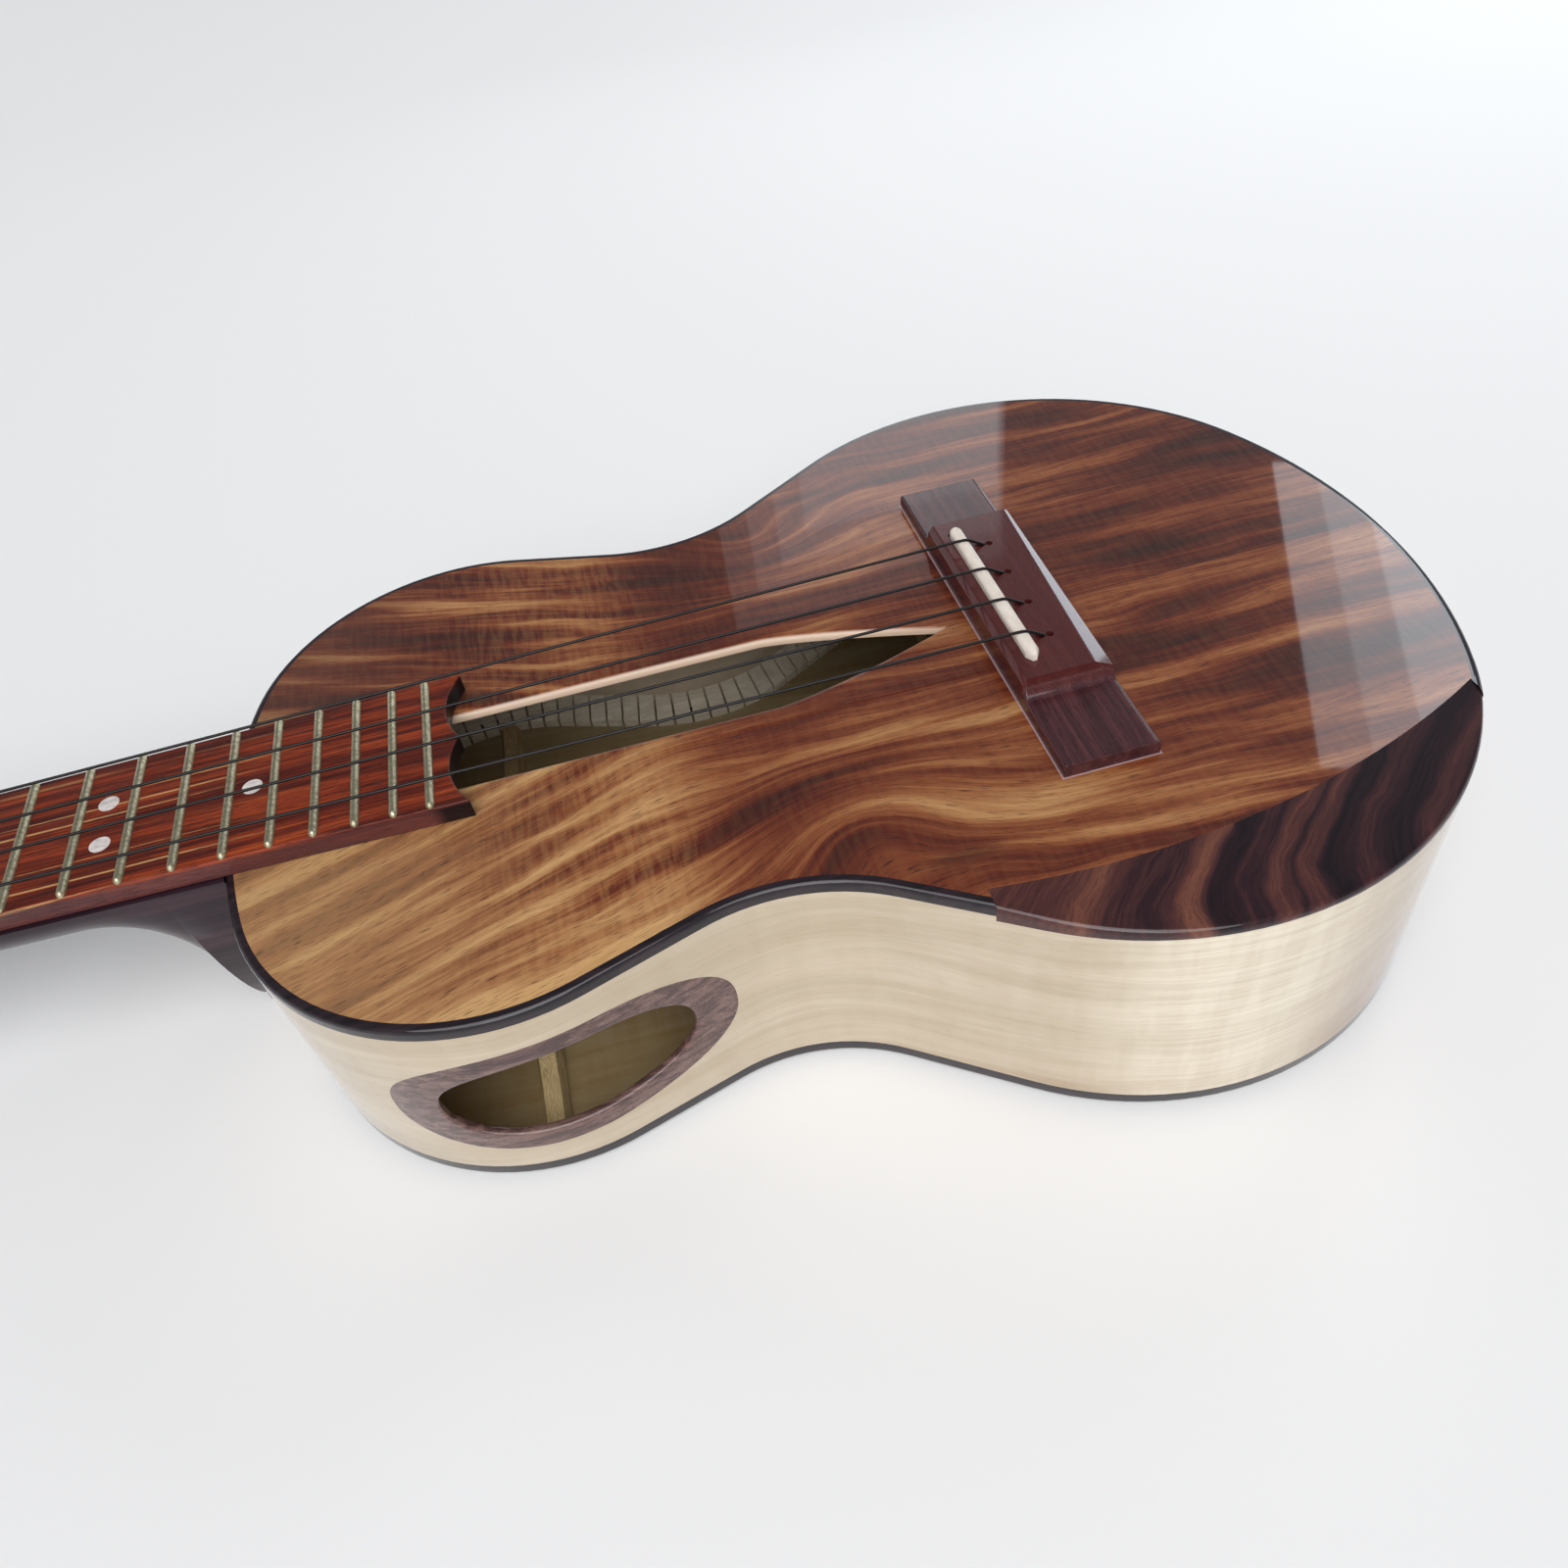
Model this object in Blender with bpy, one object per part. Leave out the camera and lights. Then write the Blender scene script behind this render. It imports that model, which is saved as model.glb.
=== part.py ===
"""Tenor ukulele: slot soundhole, side port, bevelled armrest, fourteen-to-one machine heads.

Instrument coordinates: X is 0 at the neck joint and grows towards the tail, Y grows towards the treble
side, and Z is 0 on the soundboard's top. The whole instrument hangs from one empty, tilted so that the
flat back of the tapered body lies on the ground plane, with the world origin under the body's middle.
"""

import math

import bmesh
import bpy
import numpy as np
from mathutils import Matrix, Vector

MM = 0.001

# Body outline: five tangent arcs from the neck joint to the tail, the same on both sides. The bouts
# stop short of the ends by a flatness, and tightness compares the waist's arc to one touching a bout.
UPPER_BOUT_X = 61.2 * MM
UPPER_BOUT_HALF_WIDTH = 82.9 * MM
SHOULDER_FLATNESS = 2.9 * MM
WAIST_PAST_UPPER_BOUT = 59.8 * MM
WAIST_HALF_WIDTH = 69.0 * MM
WAIST_TIGHTNESS = 0.798
LOWER_BOUT_PAST_WAIST = 98.2 * MM
LOWER_BOUT_HALF_WIDTH = 107.6 * MM
TAIL_PAST_LOWER_BOUT = 88.2 * MM
TAIL_FLATNESS = 5.0 * MM

# Body box
DEPTH_AT_NECK = 60.0 * MM
BACK_TAPER = 0.055
SOUNDBOARD_THICKNESS = 2.2 * MM
BACK_THICKNESS = 2.4 * MM
RIB_THICKNESS = 2.2 * MM
BINDING_WIDTH = 2.2 * MM
TOP_BINDING_HEIGHT = 3.2 * MM
BACK_BINDING_HEIGHT = 4.2 * MM
LINING_WIDTH = 5.5 * MM
LINING_HEIGHT = 9.0 * MM
LINING_LIP = 2.5 * MM
FIT_GAP = 0.3 * MM
CUTTER_REACH = 10.0 * MM

# Armrest: all of the soundboard's bass edge that lies outside one large circle
ARMREST_RADIUS = 210.0 * MM
ARMREST_BEFORE_LOWER_BOUT = 25.2 * MM
ARMREST_WIDTH = 22.1 * MM
ARMREST_THICKNESS = 4.8 * MM
ARMREST_SLOPE = 0.12
ARMREST_EDGE_RADIUS = 1.2 * MM
ARMREST_LEAST_WIDTH = 5.0 * MM

# Soundhole: parallel sides under the strings, then a long point in front of the bridge
SOUNDHOLE_UNDER_FRETBOARD = 11.1 * MM
SOUNDHOLE_CENTRE_Y = 1.2 * MM
SOUNDHOLE_HALF_WIDTH = 13.0 * MM
SOUNDHOLE_POINT_LENGTH = 48.0 * MM
SOUNDHOLE_POINT_CURVE = 1.25
SOUNDHOLE_CLEAR_OF_BRIDGE = 6.5 * MM

# Side port in the bass rib, and the ring round it
PORT_PAST_BOUT = 8.5 * MM
PORT_BELOW_TOP = 31.6 * MM
PORT_HALF_LENGTH = 29.3 * MM
PORT_HALF_HEIGHT = 14.2 * MM
PORT_RIM_END_WIDTH = 10.6 * MM
PORT_RIM_SIDE_WIDTH = 5.8 * MM
PORT_ROUNDNESS = 2.35
PORT_TILT = math.radians(-0.5)

# Blocks and braces
NECK_BLOCK_LENGTH = 26.0 * MM
NECK_BLOCK_WIDTH = 52.0 * MM
TAIL_BLOCK_LENGTH = 14.0 * MM
TAIL_BLOCK_WIDTH = 48.0 * MM
BRACE_WIDTH = 7.0 * MM
BRACE_HEIGHT = 9.0 * MM
BACK_BRACE_UPPER_X = 60.0 * MM
BACK_BRACE_LOWER_X = 205.0 * MM
TRANSVERSE_BRACE_X = 39.0 * MM
TOP_BRACE_Y = 32.0 * MM
BRIDGE_PLATE_LENGTH = 40.0 * MM
BRIDGE_PLATE_WIDTH = 126.0 * MM
BRIDGE_PLATE_THICKNESS = 2.0 * MM

# Scale, fretboard and frets
SCALE_LENGTH = 432.0 * MM
NUT_TO_BODY = 236.0 * MM
FRET_COUNT = 19
FRETBOARD_THICKNESS = 5.3 * MM
FRETBOARD_NUT_HALF_WIDTH = 18.0 * MM
FRETBOARD_END_HALF_WIDTH = 23.8 * MM
FRETBOARD_END_X = 61.1 * MM
FRETBOARD_END_SCOOP = 3.6 * MM
FRETBOARD_CUSP_SETBACK = 1.4 * MM
FRET_WIDTH = 2.2 * MM
FRET_HEIGHT = 1.0 * MM
FRET_END_SETBACK = 0.5 * MM
FRET_TANG_WIDTH = 0.6 * MM
FRET_TANG_DEPTH = 1.6 * MM
NUT_LENGTH = 5.0 * MM
NUT_RISE = 1.2 * MM
NUT_STRING_SPACING = 9.4 * MM

# Neck: a rounded shaft, a heel that sweeps down to the back, and a solid headstock
NECK_NUT_HALF_WIDTH = 18.2 * MM
NECK_BODY_HALF_WIDTH = 24.0 * MM
NECK_NUT_DEPTH = 13.5 * MM
NECK_BODY_DEPTH = 15.5 * MM
HEEL_START_X = -36.0 * MM
HEEL_FOOT_LENGTH = 13.0 * MM
HEEL_CAP_THICKNESS = 3.0 * MM
HEEL_CAP_HALF_WIDTH = 11.0 * MM
HEADSTOCK_LENGTH = 148.0 * MM
HEADSTOCK_THICKNESS = 12.5 * MM
HEADSTOCK_HALF_WIDTH = 29.5 * MM
HEADSTOCK_END_TAPER = 1.5 * MM
HEADSTOCK_SLAB_LENGTH = 22.0 * MM
HEADSTOCK_END_CROWN = 7.0 * MM
HEADSTOCK_ANGLE = math.radians(8.0)
HEADPLATE_THICKNESS = 1.5 * MM

# Bridge, saddle and strings
BRIDGE_FRONT_X = 192.5 * MM
BRIDGE_LENGTH = 23.0 * MM
BRIDGE_HALF_WIDTH = 59.4 * MM
BRIDGE_MIDDLE_HALF_WIDTH = 34.0 * MM
BRIDGE_HEIGHT = 8.0 * MM
BRIDGE_WING_HEIGHT = 3.2 * MM
BRIDGE_REAR_BEVEL = 5.5 * MM
BRIDGE_RAMP = 2.2 * MM
BRIDGE_FRONT_BEVEL = 1.6 * MM
BRIDGE_WING_BEVEL = 0.8 * MM
SADDLE_SETBACK = 2.0 * MM
SADDLE_THICKNESS = 3.4 * MM
SADDLE_LENGTH = 57.0 * MM
SADDLE_RISE = 2.2 * MM
SADDLE_SLOT_DEPTH = 4.0 * MM
BRIDGE_STRING_SPACING = 13.7 * MM
STRING_RADIUS = 0.4 * MM
STRING_HOLE_RADIUS = 1.0 * MM
STRING_HOLE_X = 205.0 * MM
KNOT_RADIUS = 1.6 * MM
KNOT_LENGTH = 3.6 * MM

# Machine heads: an upright post with a wheel, meshed with a worm on the button's shaft
NEAR_TUNER_X = 46.0 * MM
FAR_TUNER_X = 92.0 * MM
TUNER_EDGE_SETBACK = 13.0 * MM
POST_RADIUS = 3.0 * MM
POST_HEIGHT = 13.0 * MM
WHEEL_TEETH = 14
WHEEL_PITCH_RADIUS = 5.0 * MM
WHEEL_THICKNESS = 2.4 * MM
WORM_PITCH_RADIUS = 2.2 * MM
TOOTH_HEIGHT = 0.55 * MM
TOOTH_SHARE = 0.36
THREAD_STEEPNESS = 6.0
WORM_TURNS = 3
SHAFT_RADIUS = 1.2 * MM
SHAFT_PAST_LUG = 0.6 * MM
PLATE_THICKNESS = 1.2 * MM
PLATE_WIDTH = 12.0 * MM
LUG_THICKNESS = 1.4 * MM
LUG_WALL = 1.2 * MM
PLATE_PAST_LUG = 0.2 * MM
RUNNING_GAP = 0.2 * MM
BUTTON_RADIUS = 7.0 * MM
BUTTON_THICKNESS = 6.0 * MM
BUTTON_CLEAR_OF_EDGE = 3.0 * MM
STRING_WRAPS = 3
STRING_WRAP_GAP = 0.5 * MM
STRING_BELOW_POST_TOP = 4.0 * MM

# Places and radii that follow from the sizes above
TILT = math.atan(BACK_TAPER)
UPPER_BOUT_RADIUS = UPPER_BOUT_X - SHOULDER_FLATNESS
WAIST_X = UPPER_BOUT_X + WAIST_PAST_UPPER_BOUT
LOWER_BOUT_X = WAIST_X + LOWER_BOUT_PAST_WAIST
LOWER_BOUT_RADIUS = TAIL_PAST_LOWER_BOUT - TAIL_FLATNESS
BODY_LENGTH = LOWER_BOUT_X + TAIL_PAST_LOWER_BOUT
ARMREST_X = LOWER_BOUT_X - ARMREST_BEFORE_LOWER_BOUT
PORT_X = UPPER_BOUT_X + PORT_PAST_BOUT


def back_z(x):
    """Height of the back's outer face, which falls away towards the tail."""
    return -(DEPTH_AT_NECK + BACK_TAPER * x)


def clear_scene():
    for old in list(bpy.data.objects):
        bpy.data.objects.remove(old, do_unlink=True)


def material(name, color, roughness, metallic=0.0):
    made = bpy.data.materials.new(name)
    made.use_nodes = True
    shader = made.node_tree.nodes["Principled BSDF"]
    shader.inputs["Base Color"].default_value = (*color, 1.0)
    shader.inputs["Roughness"].default_value = roughness
    shader.inputs["Metallic"].default_value = metallic
    return made


def solid(name, points, faces, skin=None, parent=None, place=None):
    """One object from points and faces, with its faces turned outward."""
    mesh = bpy.data.meshes.new(name)
    mesh.from_pydata([tuple(point) for point in points], [], faces)
    shape = bmesh.new()
    shape.from_mesh(mesh)
    bmesh.ops.recalc_face_normals(shape, faces=shape.faces)
    shape.to_mesh(mesh)
    shape.free()
    mesh.shade_smooth()
    mesh.set_sharp_from_angle(angle=math.radians(35))
    made = bpy.data.objects.new(name, mesh)
    bpy.context.collection.objects.link(made)
    made.parent = parent
    if place is not None:
        made.matrix_local = place
    if skin is not None:
        mesh.materials.append(skin)
    return made


def loft(name, sections, skin=None, parent=None, ring=False, place=None):
    """Skins a row of equal sections, with a flat cap on each end unless the row closes on itself."""
    count = len(sections[0])
    points = [point for section in sections for point in section]
    faces = []
    for row in range(len(sections) if ring else len(sections) - 1):
        here = row * count
        there = ((row + 1) % len(sections)) * count
        for i in range(count):
            j = (i + 1) % count
            faces.append((here + i, here + j, there + j, there + i))
    if not ring:
        faces.append(tuple(range(count)))
        faces.append(tuple(range(len(points) - count, len(points))))
    return solid(name, points, faces, skin, parent, place)


def prism(name, outline, low, high, skin=None, parent=None, place=None):
    """An upright prism. low and high are heights, or functions of X that give them."""
    bottom = low if callable(low) else lambda x: low
    top = high if callable(high) else lambda x: high
    sections = [[(x, y, bottom(x)) for x, y in outline], [(x, y, top(x)) for x, y in outline]]
    return loft(name, sections, skin, parent, place=place)


def circle(radius, sides, turn=0.0):
    steps = [math.tau * i / sides + turn for i in range(sides)]
    return [(radius * math.cos(angle), radius * math.sin(angle)) for angle in steps]


def combine(target, other, operation):
    """A live boolean whose second shape is kept as a hidden wire guide."""
    other.hide_render = True
    other.display_type = "WIRE"
    modifier = target.modifiers.new(other.name, "BOOLEAN")
    modifier.operation = operation
    modifier.solver = "EXACT"
    modifier.object = other


def touching_radius(bout_x, bout_half_width, bout_radius):
    """Radius of the waist's arc that would just touch this bout's arc."""
    along = bout_x - WAIST_X
    across = bout_half_width - bout_radius - WAIST_HALF_WIDTH
    return (along**2 + across**2 - bout_radius**2) / (2 * (bout_radius + across))


def waist_radius():
    upper = touching_radius(UPPER_BOUT_X, UPPER_BOUT_HALF_WIDTH, UPPER_BOUT_RADIUS)
    lower = touching_radius(LOWER_BOUT_X, LOWER_BOUT_HALF_WIDTH, LOWER_BOUT_RADIUS)
    return WAIST_TIGHTNESS * min(upper, lower)


def tangent_normal(outer, outer_radius, inner, inner_radius):
    """Normal of the straight line that joins a bout's circle to the waist's, on the side away from X."""
    gap = inner - outer
    spread = math.acos((outer_radius + inner_radius) / gap.length)
    heading = math.atan2(gap.y, gap.x)
    return max((heading + spread, heading - spread), key=math.sin)


def arc(centre, radius, start, end, steps):
    angles = [start + (end - start) * i / steps for i in range(steps + 1)]
    return [(centre.x + radius * math.cos(a), centre.y + radius * math.sin(a)) for a in angles]


def half_outline(inset=0.0):
    """Treble half of the body's outline from the neck joint to the tail, moved inward by inset."""
    waist_arc = waist_radius()
    upper = Vector((UPPER_BOUT_X, UPPER_BOUT_HALF_WIDTH - UPPER_BOUT_RADIUS))
    waist = Vector((WAIST_X, WAIST_HALF_WIDTH + waist_arc))
    lower = Vector((LOWER_BOUT_X, LOWER_BOUT_HALF_WIDTH - LOWER_BOUT_RADIUS))
    rest = BODY_LENGTH - lower.x
    shoulder_radius = (upper.length_squared - UPPER_BOUT_RADIUS**2) / (2 * (upper.x - UPPER_BOUT_RADIUS))
    tail_radius = (rest**2 + lower.y**2 - LOWER_BOUT_RADIUS**2) / (2 * (rest - LOWER_BOUT_RADIUS))
    shoulder = Vector((shoulder_radius, 0.0))
    tail = Vector((BODY_LENGTH - tail_radius, 0.0))
    leave_shoulder = math.atan2(upper.y, upper.x - shoulder.x)
    leave_upper = tangent_normal(upper, UPPER_BOUT_RADIUS, waist, waist_arc)
    reach_lower = tangent_normal(lower, LOWER_BOUT_RADIUS, waist, waist_arc)
    leave_lower = math.atan2(lower.y, lower.x - tail.x)
    points = arc(shoulder, shoulder_radius - inset, math.pi, leave_shoulder, 4)
    points += arc(upper, UPPER_BOUT_RADIUS - inset, leave_shoulder, leave_upper, 9)[1:]
    points += arc(waist, waist_arc + inset, leave_upper + math.pi, reach_lower + math.pi, 5)
    points += arc(lower, LOWER_BOUT_RADIUS - inset, reach_lower, leave_lower, 11)
    points += arc(tail, tail_radius - inset, leave_lower, 0.0, 4)[1:]
    return points


def full_outline(inset=0.0):
    treble = half_outline(inset)
    return treble + [(x, -y) for x, y in reversed(treble[1:-1])]


def half_width(x, inset=0.0):
    xs, ys = zip(*half_outline(inset))
    return float(np.interp(x, xs, ys))


def band(outer, inner, low, high):
    """Sections of an upright wall between two outlines. low and high are functions of X."""
    rows = zip(outer, inner)
    return [[(*a, high(a[0])), (*a, low(a[0])), (*b, low(b[0])), (*b, high(b[0]))] for a, b in rows]


def armrest_y(x, gap=0.0):
    """The armrest's inner edge on the soundboard, moved towards the centreline by gap."""
    centre_y = ARMREST_RADIUS - (LOWER_BOUT_HALF_WIDTH - ARMREST_WIDTH)
    return centre_y - math.sqrt((ARMREST_RADIUS - gap) ** 2 - (x - ARMREST_X) ** 2)


def armrest_span():
    """First and last X at which the bass edge stands out far enough past the armrest's inner edge."""
    samples = [WAIST_X + (BODY_LENGTH - WAIST_X) * i / 600 for i in range(1, 600)]
    beyond = WAIST_X + 0.2 * (LOWER_BOUT_X - WAIST_X)
    wide = [x for x in samples if x > beyond and half_width(x) + armrest_y(x) > ARMREST_LEAST_WIDTH]
    return wide[0], wide[-1]


def make_armrest_pocket(root):
    """Guide that clears the soundboard, binding, rib and lining away from the armrest."""
    first, last = armrest_span()
    start, end = first - FIT_GAP, last + FIT_GAP
    outside = -LOWER_BOUT_HALF_WIDTH - CUTTER_REACH
    steps = [start + (end - start) * i / 28 for i in range(29)]
    outline = [(x, armrest_y(x, FIT_GAP)) for x in steps]
    outline += [(steps[-1], outside), (steps[0], outside)]
    return prism("armrest_pocket", outline, -ARMREST_THICKNESS - FIT_GAP, CUTTER_REACH, parent=root)


def make_armrest(root, skin):
    """Bevelled wedge over the bass edge, lofted along it and cut off square where it gets narrow."""
    first, last = armrest_span()
    sections = []
    for i in range(29):
        x = first + (last - first) * (0.5 - 0.5 * math.cos(math.pi * i / 28))
        inner, outer = armrest_y(x), -half_width(x)
        drop = ARMREST_SLOPE * (inner - outer)
        edge = min(ARMREST_EDGE_RADIUS, 0.4 * (inner - outer))
        top = [(x, inner, 0.0), (x, outer + edge, -drop), (x, outer + 0.3 * edge, -drop - 0.3 * edge)]
        side = [(x, outer, -drop - edge), (x, outer, -ARMREST_THICKNESS), (x, inner, -ARMREST_THICKNESS)]
        sections.append(top + side)
    return loft("armrest", sections, skin, root)


def soundhole_outline():
    """Slot with parallel sides, drawn in to a long point, from its start under the fretboard's end."""
    start = FRETBOARD_END_X - SOUNDHOLE_UNDER_FRETBOARD
    point = BRIDGE_FRONT_X - SOUNDHOLE_CLEAR_OF_BRIDGE
    side = [(start, SOUNDHOLE_HALF_WIDTH)]
    for i in range(11):
        share = i / 10
        width = SOUNDHOLE_HALF_WIDTH * (1 - share**SOUNDHOLE_POINT_CURVE)
        side.append((point - SOUNDHOLE_POINT_LENGTH * (1 - share), width))
    outline = side + [(x, -y) for x, y in reversed(side[:-1])]
    return [(x, y + SOUNDHOLE_CENTRE_Y) for x, y in outline]


def make_soundboard(root, skin, pocket):
    inset = BINDING_WIDTH + FIT_GAP
    board = prism("soundboard", full_outline(inset), -SOUNDBOARD_THICKNESS, 0.0, skin, root)
    hole = prism("soundhole_guide", soundhole_outline(), -CUTTER_REACH, CUTTER_REACH, parent=root)
    combine(board, hole, "DIFFERENCE")
    combine(board, pocket, "DIFFERENCE")
    return board


def make_back(root, skin):
    inset = BINDING_WIDTH + FIT_GAP
    inside = lambda x: back_z(x) + BACK_THICKNESS
    return prism("back_plate", full_outline(inset), back_z, inside, skin, root)


def make_bindings(root, skin, pocket):
    outer, inner = full_outline(), full_outline(BINDING_WIDTH)
    top = band(outer, inner, lambda x: -TOP_BINDING_HEIGHT, lambda x: 0.0)
    strip = loft("binding_top", top, skin, root, ring=True)
    combine(strip, pocket, "DIFFERENCE")
    low = band(outer, inner, back_z, lambda x: back_z(x) + BACK_BINDING_HEIGHT)
    loft("binding_back", low, skin, root, ring=True)


def port_outline(end_margin, side_margin):
    """The port's rounded outline in X and Z, grown past the opening by a margin at its ends and sides."""
    length, height = PORT_HALF_LENGTH + end_margin, PORT_HALF_HEIGHT + side_margin
    points = []
    for i in range(28):
        angle = math.tau * i / 28
        c, s = math.cos(angle), math.sin(angle)
        u = length * math.copysign(abs(c) ** (2 / PORT_ROUNDNESS), c)
        v = height * math.copysign(abs(s) ** (2 / PORT_ROUNDNESS), s)
        x = PORT_X + u * math.cos(PORT_TILT) + v * math.sin(PORT_TILT)
        z = -PORT_BELOW_TOP - u * math.sin(PORT_TILT) + v * math.cos(PORT_TILT)
        points.append((x, z))
    return points


def port_guide(name, end_margin, side_margin, root):
    outline = port_outline(end_margin, side_margin)
    far, near = -UPPER_BOUT_HALF_WIDTH - CUTTER_REACH, -0.6 * UPPER_BOUT_HALF_WIDTH
    return loft(name, [[(x, y, z) for x, z in outline] for y in (far, near)], parent=root)


def rib_sections(side):
    outer, inner = half_outline(), half_outline(RIB_THICKNESS)
    low = lambda x: back_z(x) + BACK_BINDING_HEIGHT + FIT_GAP
    rows = band(outer, inner, low, lambda x: -TOP_BINDING_HEIGHT - FIT_GAP)
    return [[(x, side * max(y, FIT_GAP / 2), z) for x, y, z in row] for row in rows]


def make_ribs(root, skin, rim_skin, pocket):
    """Two bent ribs butted at the neck and the tail. The bass one has the port and its let-in ring."""
    loft("side_treble", rib_sections(1), skin, root)
    rib = loft("side_bass", rib_sections(-1), skin, root)
    clear = port_guide("port_pocket", PORT_RIM_END_WIDTH + FIT_GAP, PORT_RIM_SIDE_WIDTH + FIT_GAP, root)
    combine(rib, clear, "DIFFERENCE")
    combine(rib, pocket, "DIFFERENCE")
    rim = loft("port_rim", rib_sections(-1), rim_skin, root)
    combine(rim, port_guide("rim_edge", PORT_RIM_END_WIDTH, PORT_RIM_SIDE_WIDTH, root), "INTERSECT")
    combine(rim, port_guide("rim_opening", 0.0, 0.0, root), "DIFFERENCE")


def lining_inset():
    return max(RIB_THICKNESS, BINDING_WIDTH) + FIT_GAP


def end_x(y, inset=0.0, tail=False):
    """X of the outline's neck end or tail end at the given Y."""
    points = half_outline(inset)
    points = points[:-6:-1] if tail else points[:5]
    xs, ys = zip(*points)
    return float(np.interp(abs(y), ys, xs))


def inside_top():
    return -SOUNDBOARD_THICKNESS - FIT_GAP


def inside_back(x):
    return back_z(x) + BACK_THICKNESS + FIT_GAP


def make_linings(root, skin, pocket):
    """Three-cornered strips inside the ribs, open only where the neck block stands."""
    outer, inner = half_outline(lining_inset()), half_outline(lining_inset() + LINING_WIDTH)
    past_block = NECK_BLOCK_WIDTH / 2 + FIT_GAP
    pairs = [(a, b) for a, b in zip(outer, inner) if b[1] > past_block or a[0] > WAIST_X]
    pairs += [((a[0], -a[1]), (b[0], -b[1])) for a, b in reversed(pairs[:-1])]
    top, back = [], []
    for a, b in pairs:
        high = inside_top()
        top.append([(*a, high), (*a, high - LINING_HEIGHT), (*b, high - LINING_LIP), (*b, high)])
        low_a, low_b = inside_back(a[0]), inside_back(b[0])
        back.append([(*a, low_a), (*a, low_a + LINING_HEIGHT), (*b, low_b + LINING_LIP), (*b, low_b)])
    strip = loft("lining_top", top, skin, root)
    combine(strip, pocket, "DIFFERENCE")
    loft("lining_back", back, skin, root)


def make_blocks(root, skin):
    """Neck and tail blocks, curved to the ribs. The tail one is notched for the linings."""
    face = RIB_THICKNESS + FIT_GAP
    neck, tail = [], []
    for i in range(9):
        y = NECK_BLOCK_WIDTH * (i / 8 - 0.5)
        near, far = end_x(y, face), face + NECK_BLOCK_LENGTH
        neck.append([(near, y, inside_top()), (near, y, inside_back(near))])
        neck[-1] += [(far, y, inside_back(far)), (far, y, inside_top())]
        y = TAIL_BLOCK_WIDTH * (i / 8 - 0.5)
        out = end_x(y, face, tail=True)
        notch = out - (lining_inset() - RIB_THICKNESS) - LINING_WIDTH - FIT_GAP
        inward = BODY_LENGTH - face - TAIL_BLOCK_LENGTH
        high, low = inside_top() - LINING_HEIGHT - FIT_GAP, LINING_HEIGHT + FIT_GAP
        upper = [(inward, inside_top()), (notch, inside_top()), (notch, high), (out, high)]
        lower = [(out, inside_back(out) + low), (notch, inside_back(notch) + low)]
        lower += [(notch, inside_back(notch)), (inward, inside_back(inward))]
        tail.append([(x, y, z) for x, z in upper + lower])
    loft("neck_block", neck, skin, root)
    loft("tail_block", tail, skin, root)


def brace_across(name, x, base, rise, skin, root):
    """Brace from lining to lining, with its ends scooped low. rise is negative under the soundboard."""
    reach = lining_inset() + LINING_WIDTH + FIT_GAP
    half = min(half_width(x + side * BRACE_WIDTH / 2, reach) for side in (-1, 1))
    sections = []
    for share, height in ((-1, 0.35), (-0.8, 0.5), (-0.6, 1), (0.6, 1), (0.8, 0.5), (1, 0.35)):
        row = []
        for side, lift, narrow in ((-1, 0, 1), (1, 0, 1), (1, height, 0.6), (-1, height, 0.6)):
            edge = x + side * narrow * BRACE_WIDTH / 2
            row.append((edge, share * half, base(edge) + lift * rise))
        sections.append(row)
    return loft(name, sections, skin, root)


def bridge_plate_start():
    return BRIDGE_FRONT_X + (BRIDGE_LENGTH - BRIDGE_PLATE_LENGTH) / 2


def make_braces(root, skin, plate_skin):
    brace_across("back_brace_upper", BACK_BRACE_UPPER_X, inside_back, BRACE_HEIGHT, skin, root)
    brace_across("back_brace_lower", BACK_BRACE_LOWER_X, inside_back, BRACE_HEIGHT, skin, root)
    under = lambda x: inside_top()
    brace_across("upper_transverse_brace", TRANSVERSE_BRACE_X, under, -BRACE_HEIGHT, skin, root)
    start = TRANSVERSE_BRACE_X + BRACE_WIDTH / 2 + FIT_GAP
    end = bridge_plate_start() - FIT_GAP
    for name, side in (("top_brace_bass", -1), ("top_brace_treble", 1)):
        sections = []
        for share, height in ((0, 1), (0.8, 1), (0.9, 0.6), (1, 0.35)):
            x = start + share * (end - start)
            low = inside_top() - height * BRACE_HEIGHT
            left, right = side * TOP_BRACE_Y - BRACE_WIDTH / 2, side * TOP_BRACE_Y + BRACE_WIDTH / 2
            corners = [(left, inside_top()), (right, inside_top()), (right, low), (left, low)]
            sections.append([(x, y, z) for y, z in corners])
        loft(name, sections, skin, root)
    x, y = bridge_plate_start(), BRIDGE_PLATE_WIDTH / 2
    outline = [(x, -y), (x + BRIDGE_PLATE_LENGTH, -y), (x + BRIDGE_PLATE_LENGTH, y), (x, y)]
    high = inside_top()
    return prism("bridge_plate", outline, high - BRIDGE_PLATE_THICKNESS, high, plate_skin, root)


def nut_edge_x():
    """Where the headstock's face begins, just behind the nut."""
    return -NUT_TO_BODY - NUT_LENGTH - FIT_GAP


def smooth(x, start, end):
    share = min(1.0, max(0.0, (x - start) / (end - start)))
    return share * share * (3 - 2 * share)


def headstock_drop():
    return HEADPLATE_THICKNESS + FIT_GAP


def neck_top(x):
    if x >= nut_edge_x() + 0.6 * FIT_GAP:
        return 0.0
    return -headstock_drop() - (nut_edge_x() - x) * math.tan(HEADSTOCK_ANGLE)


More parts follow.
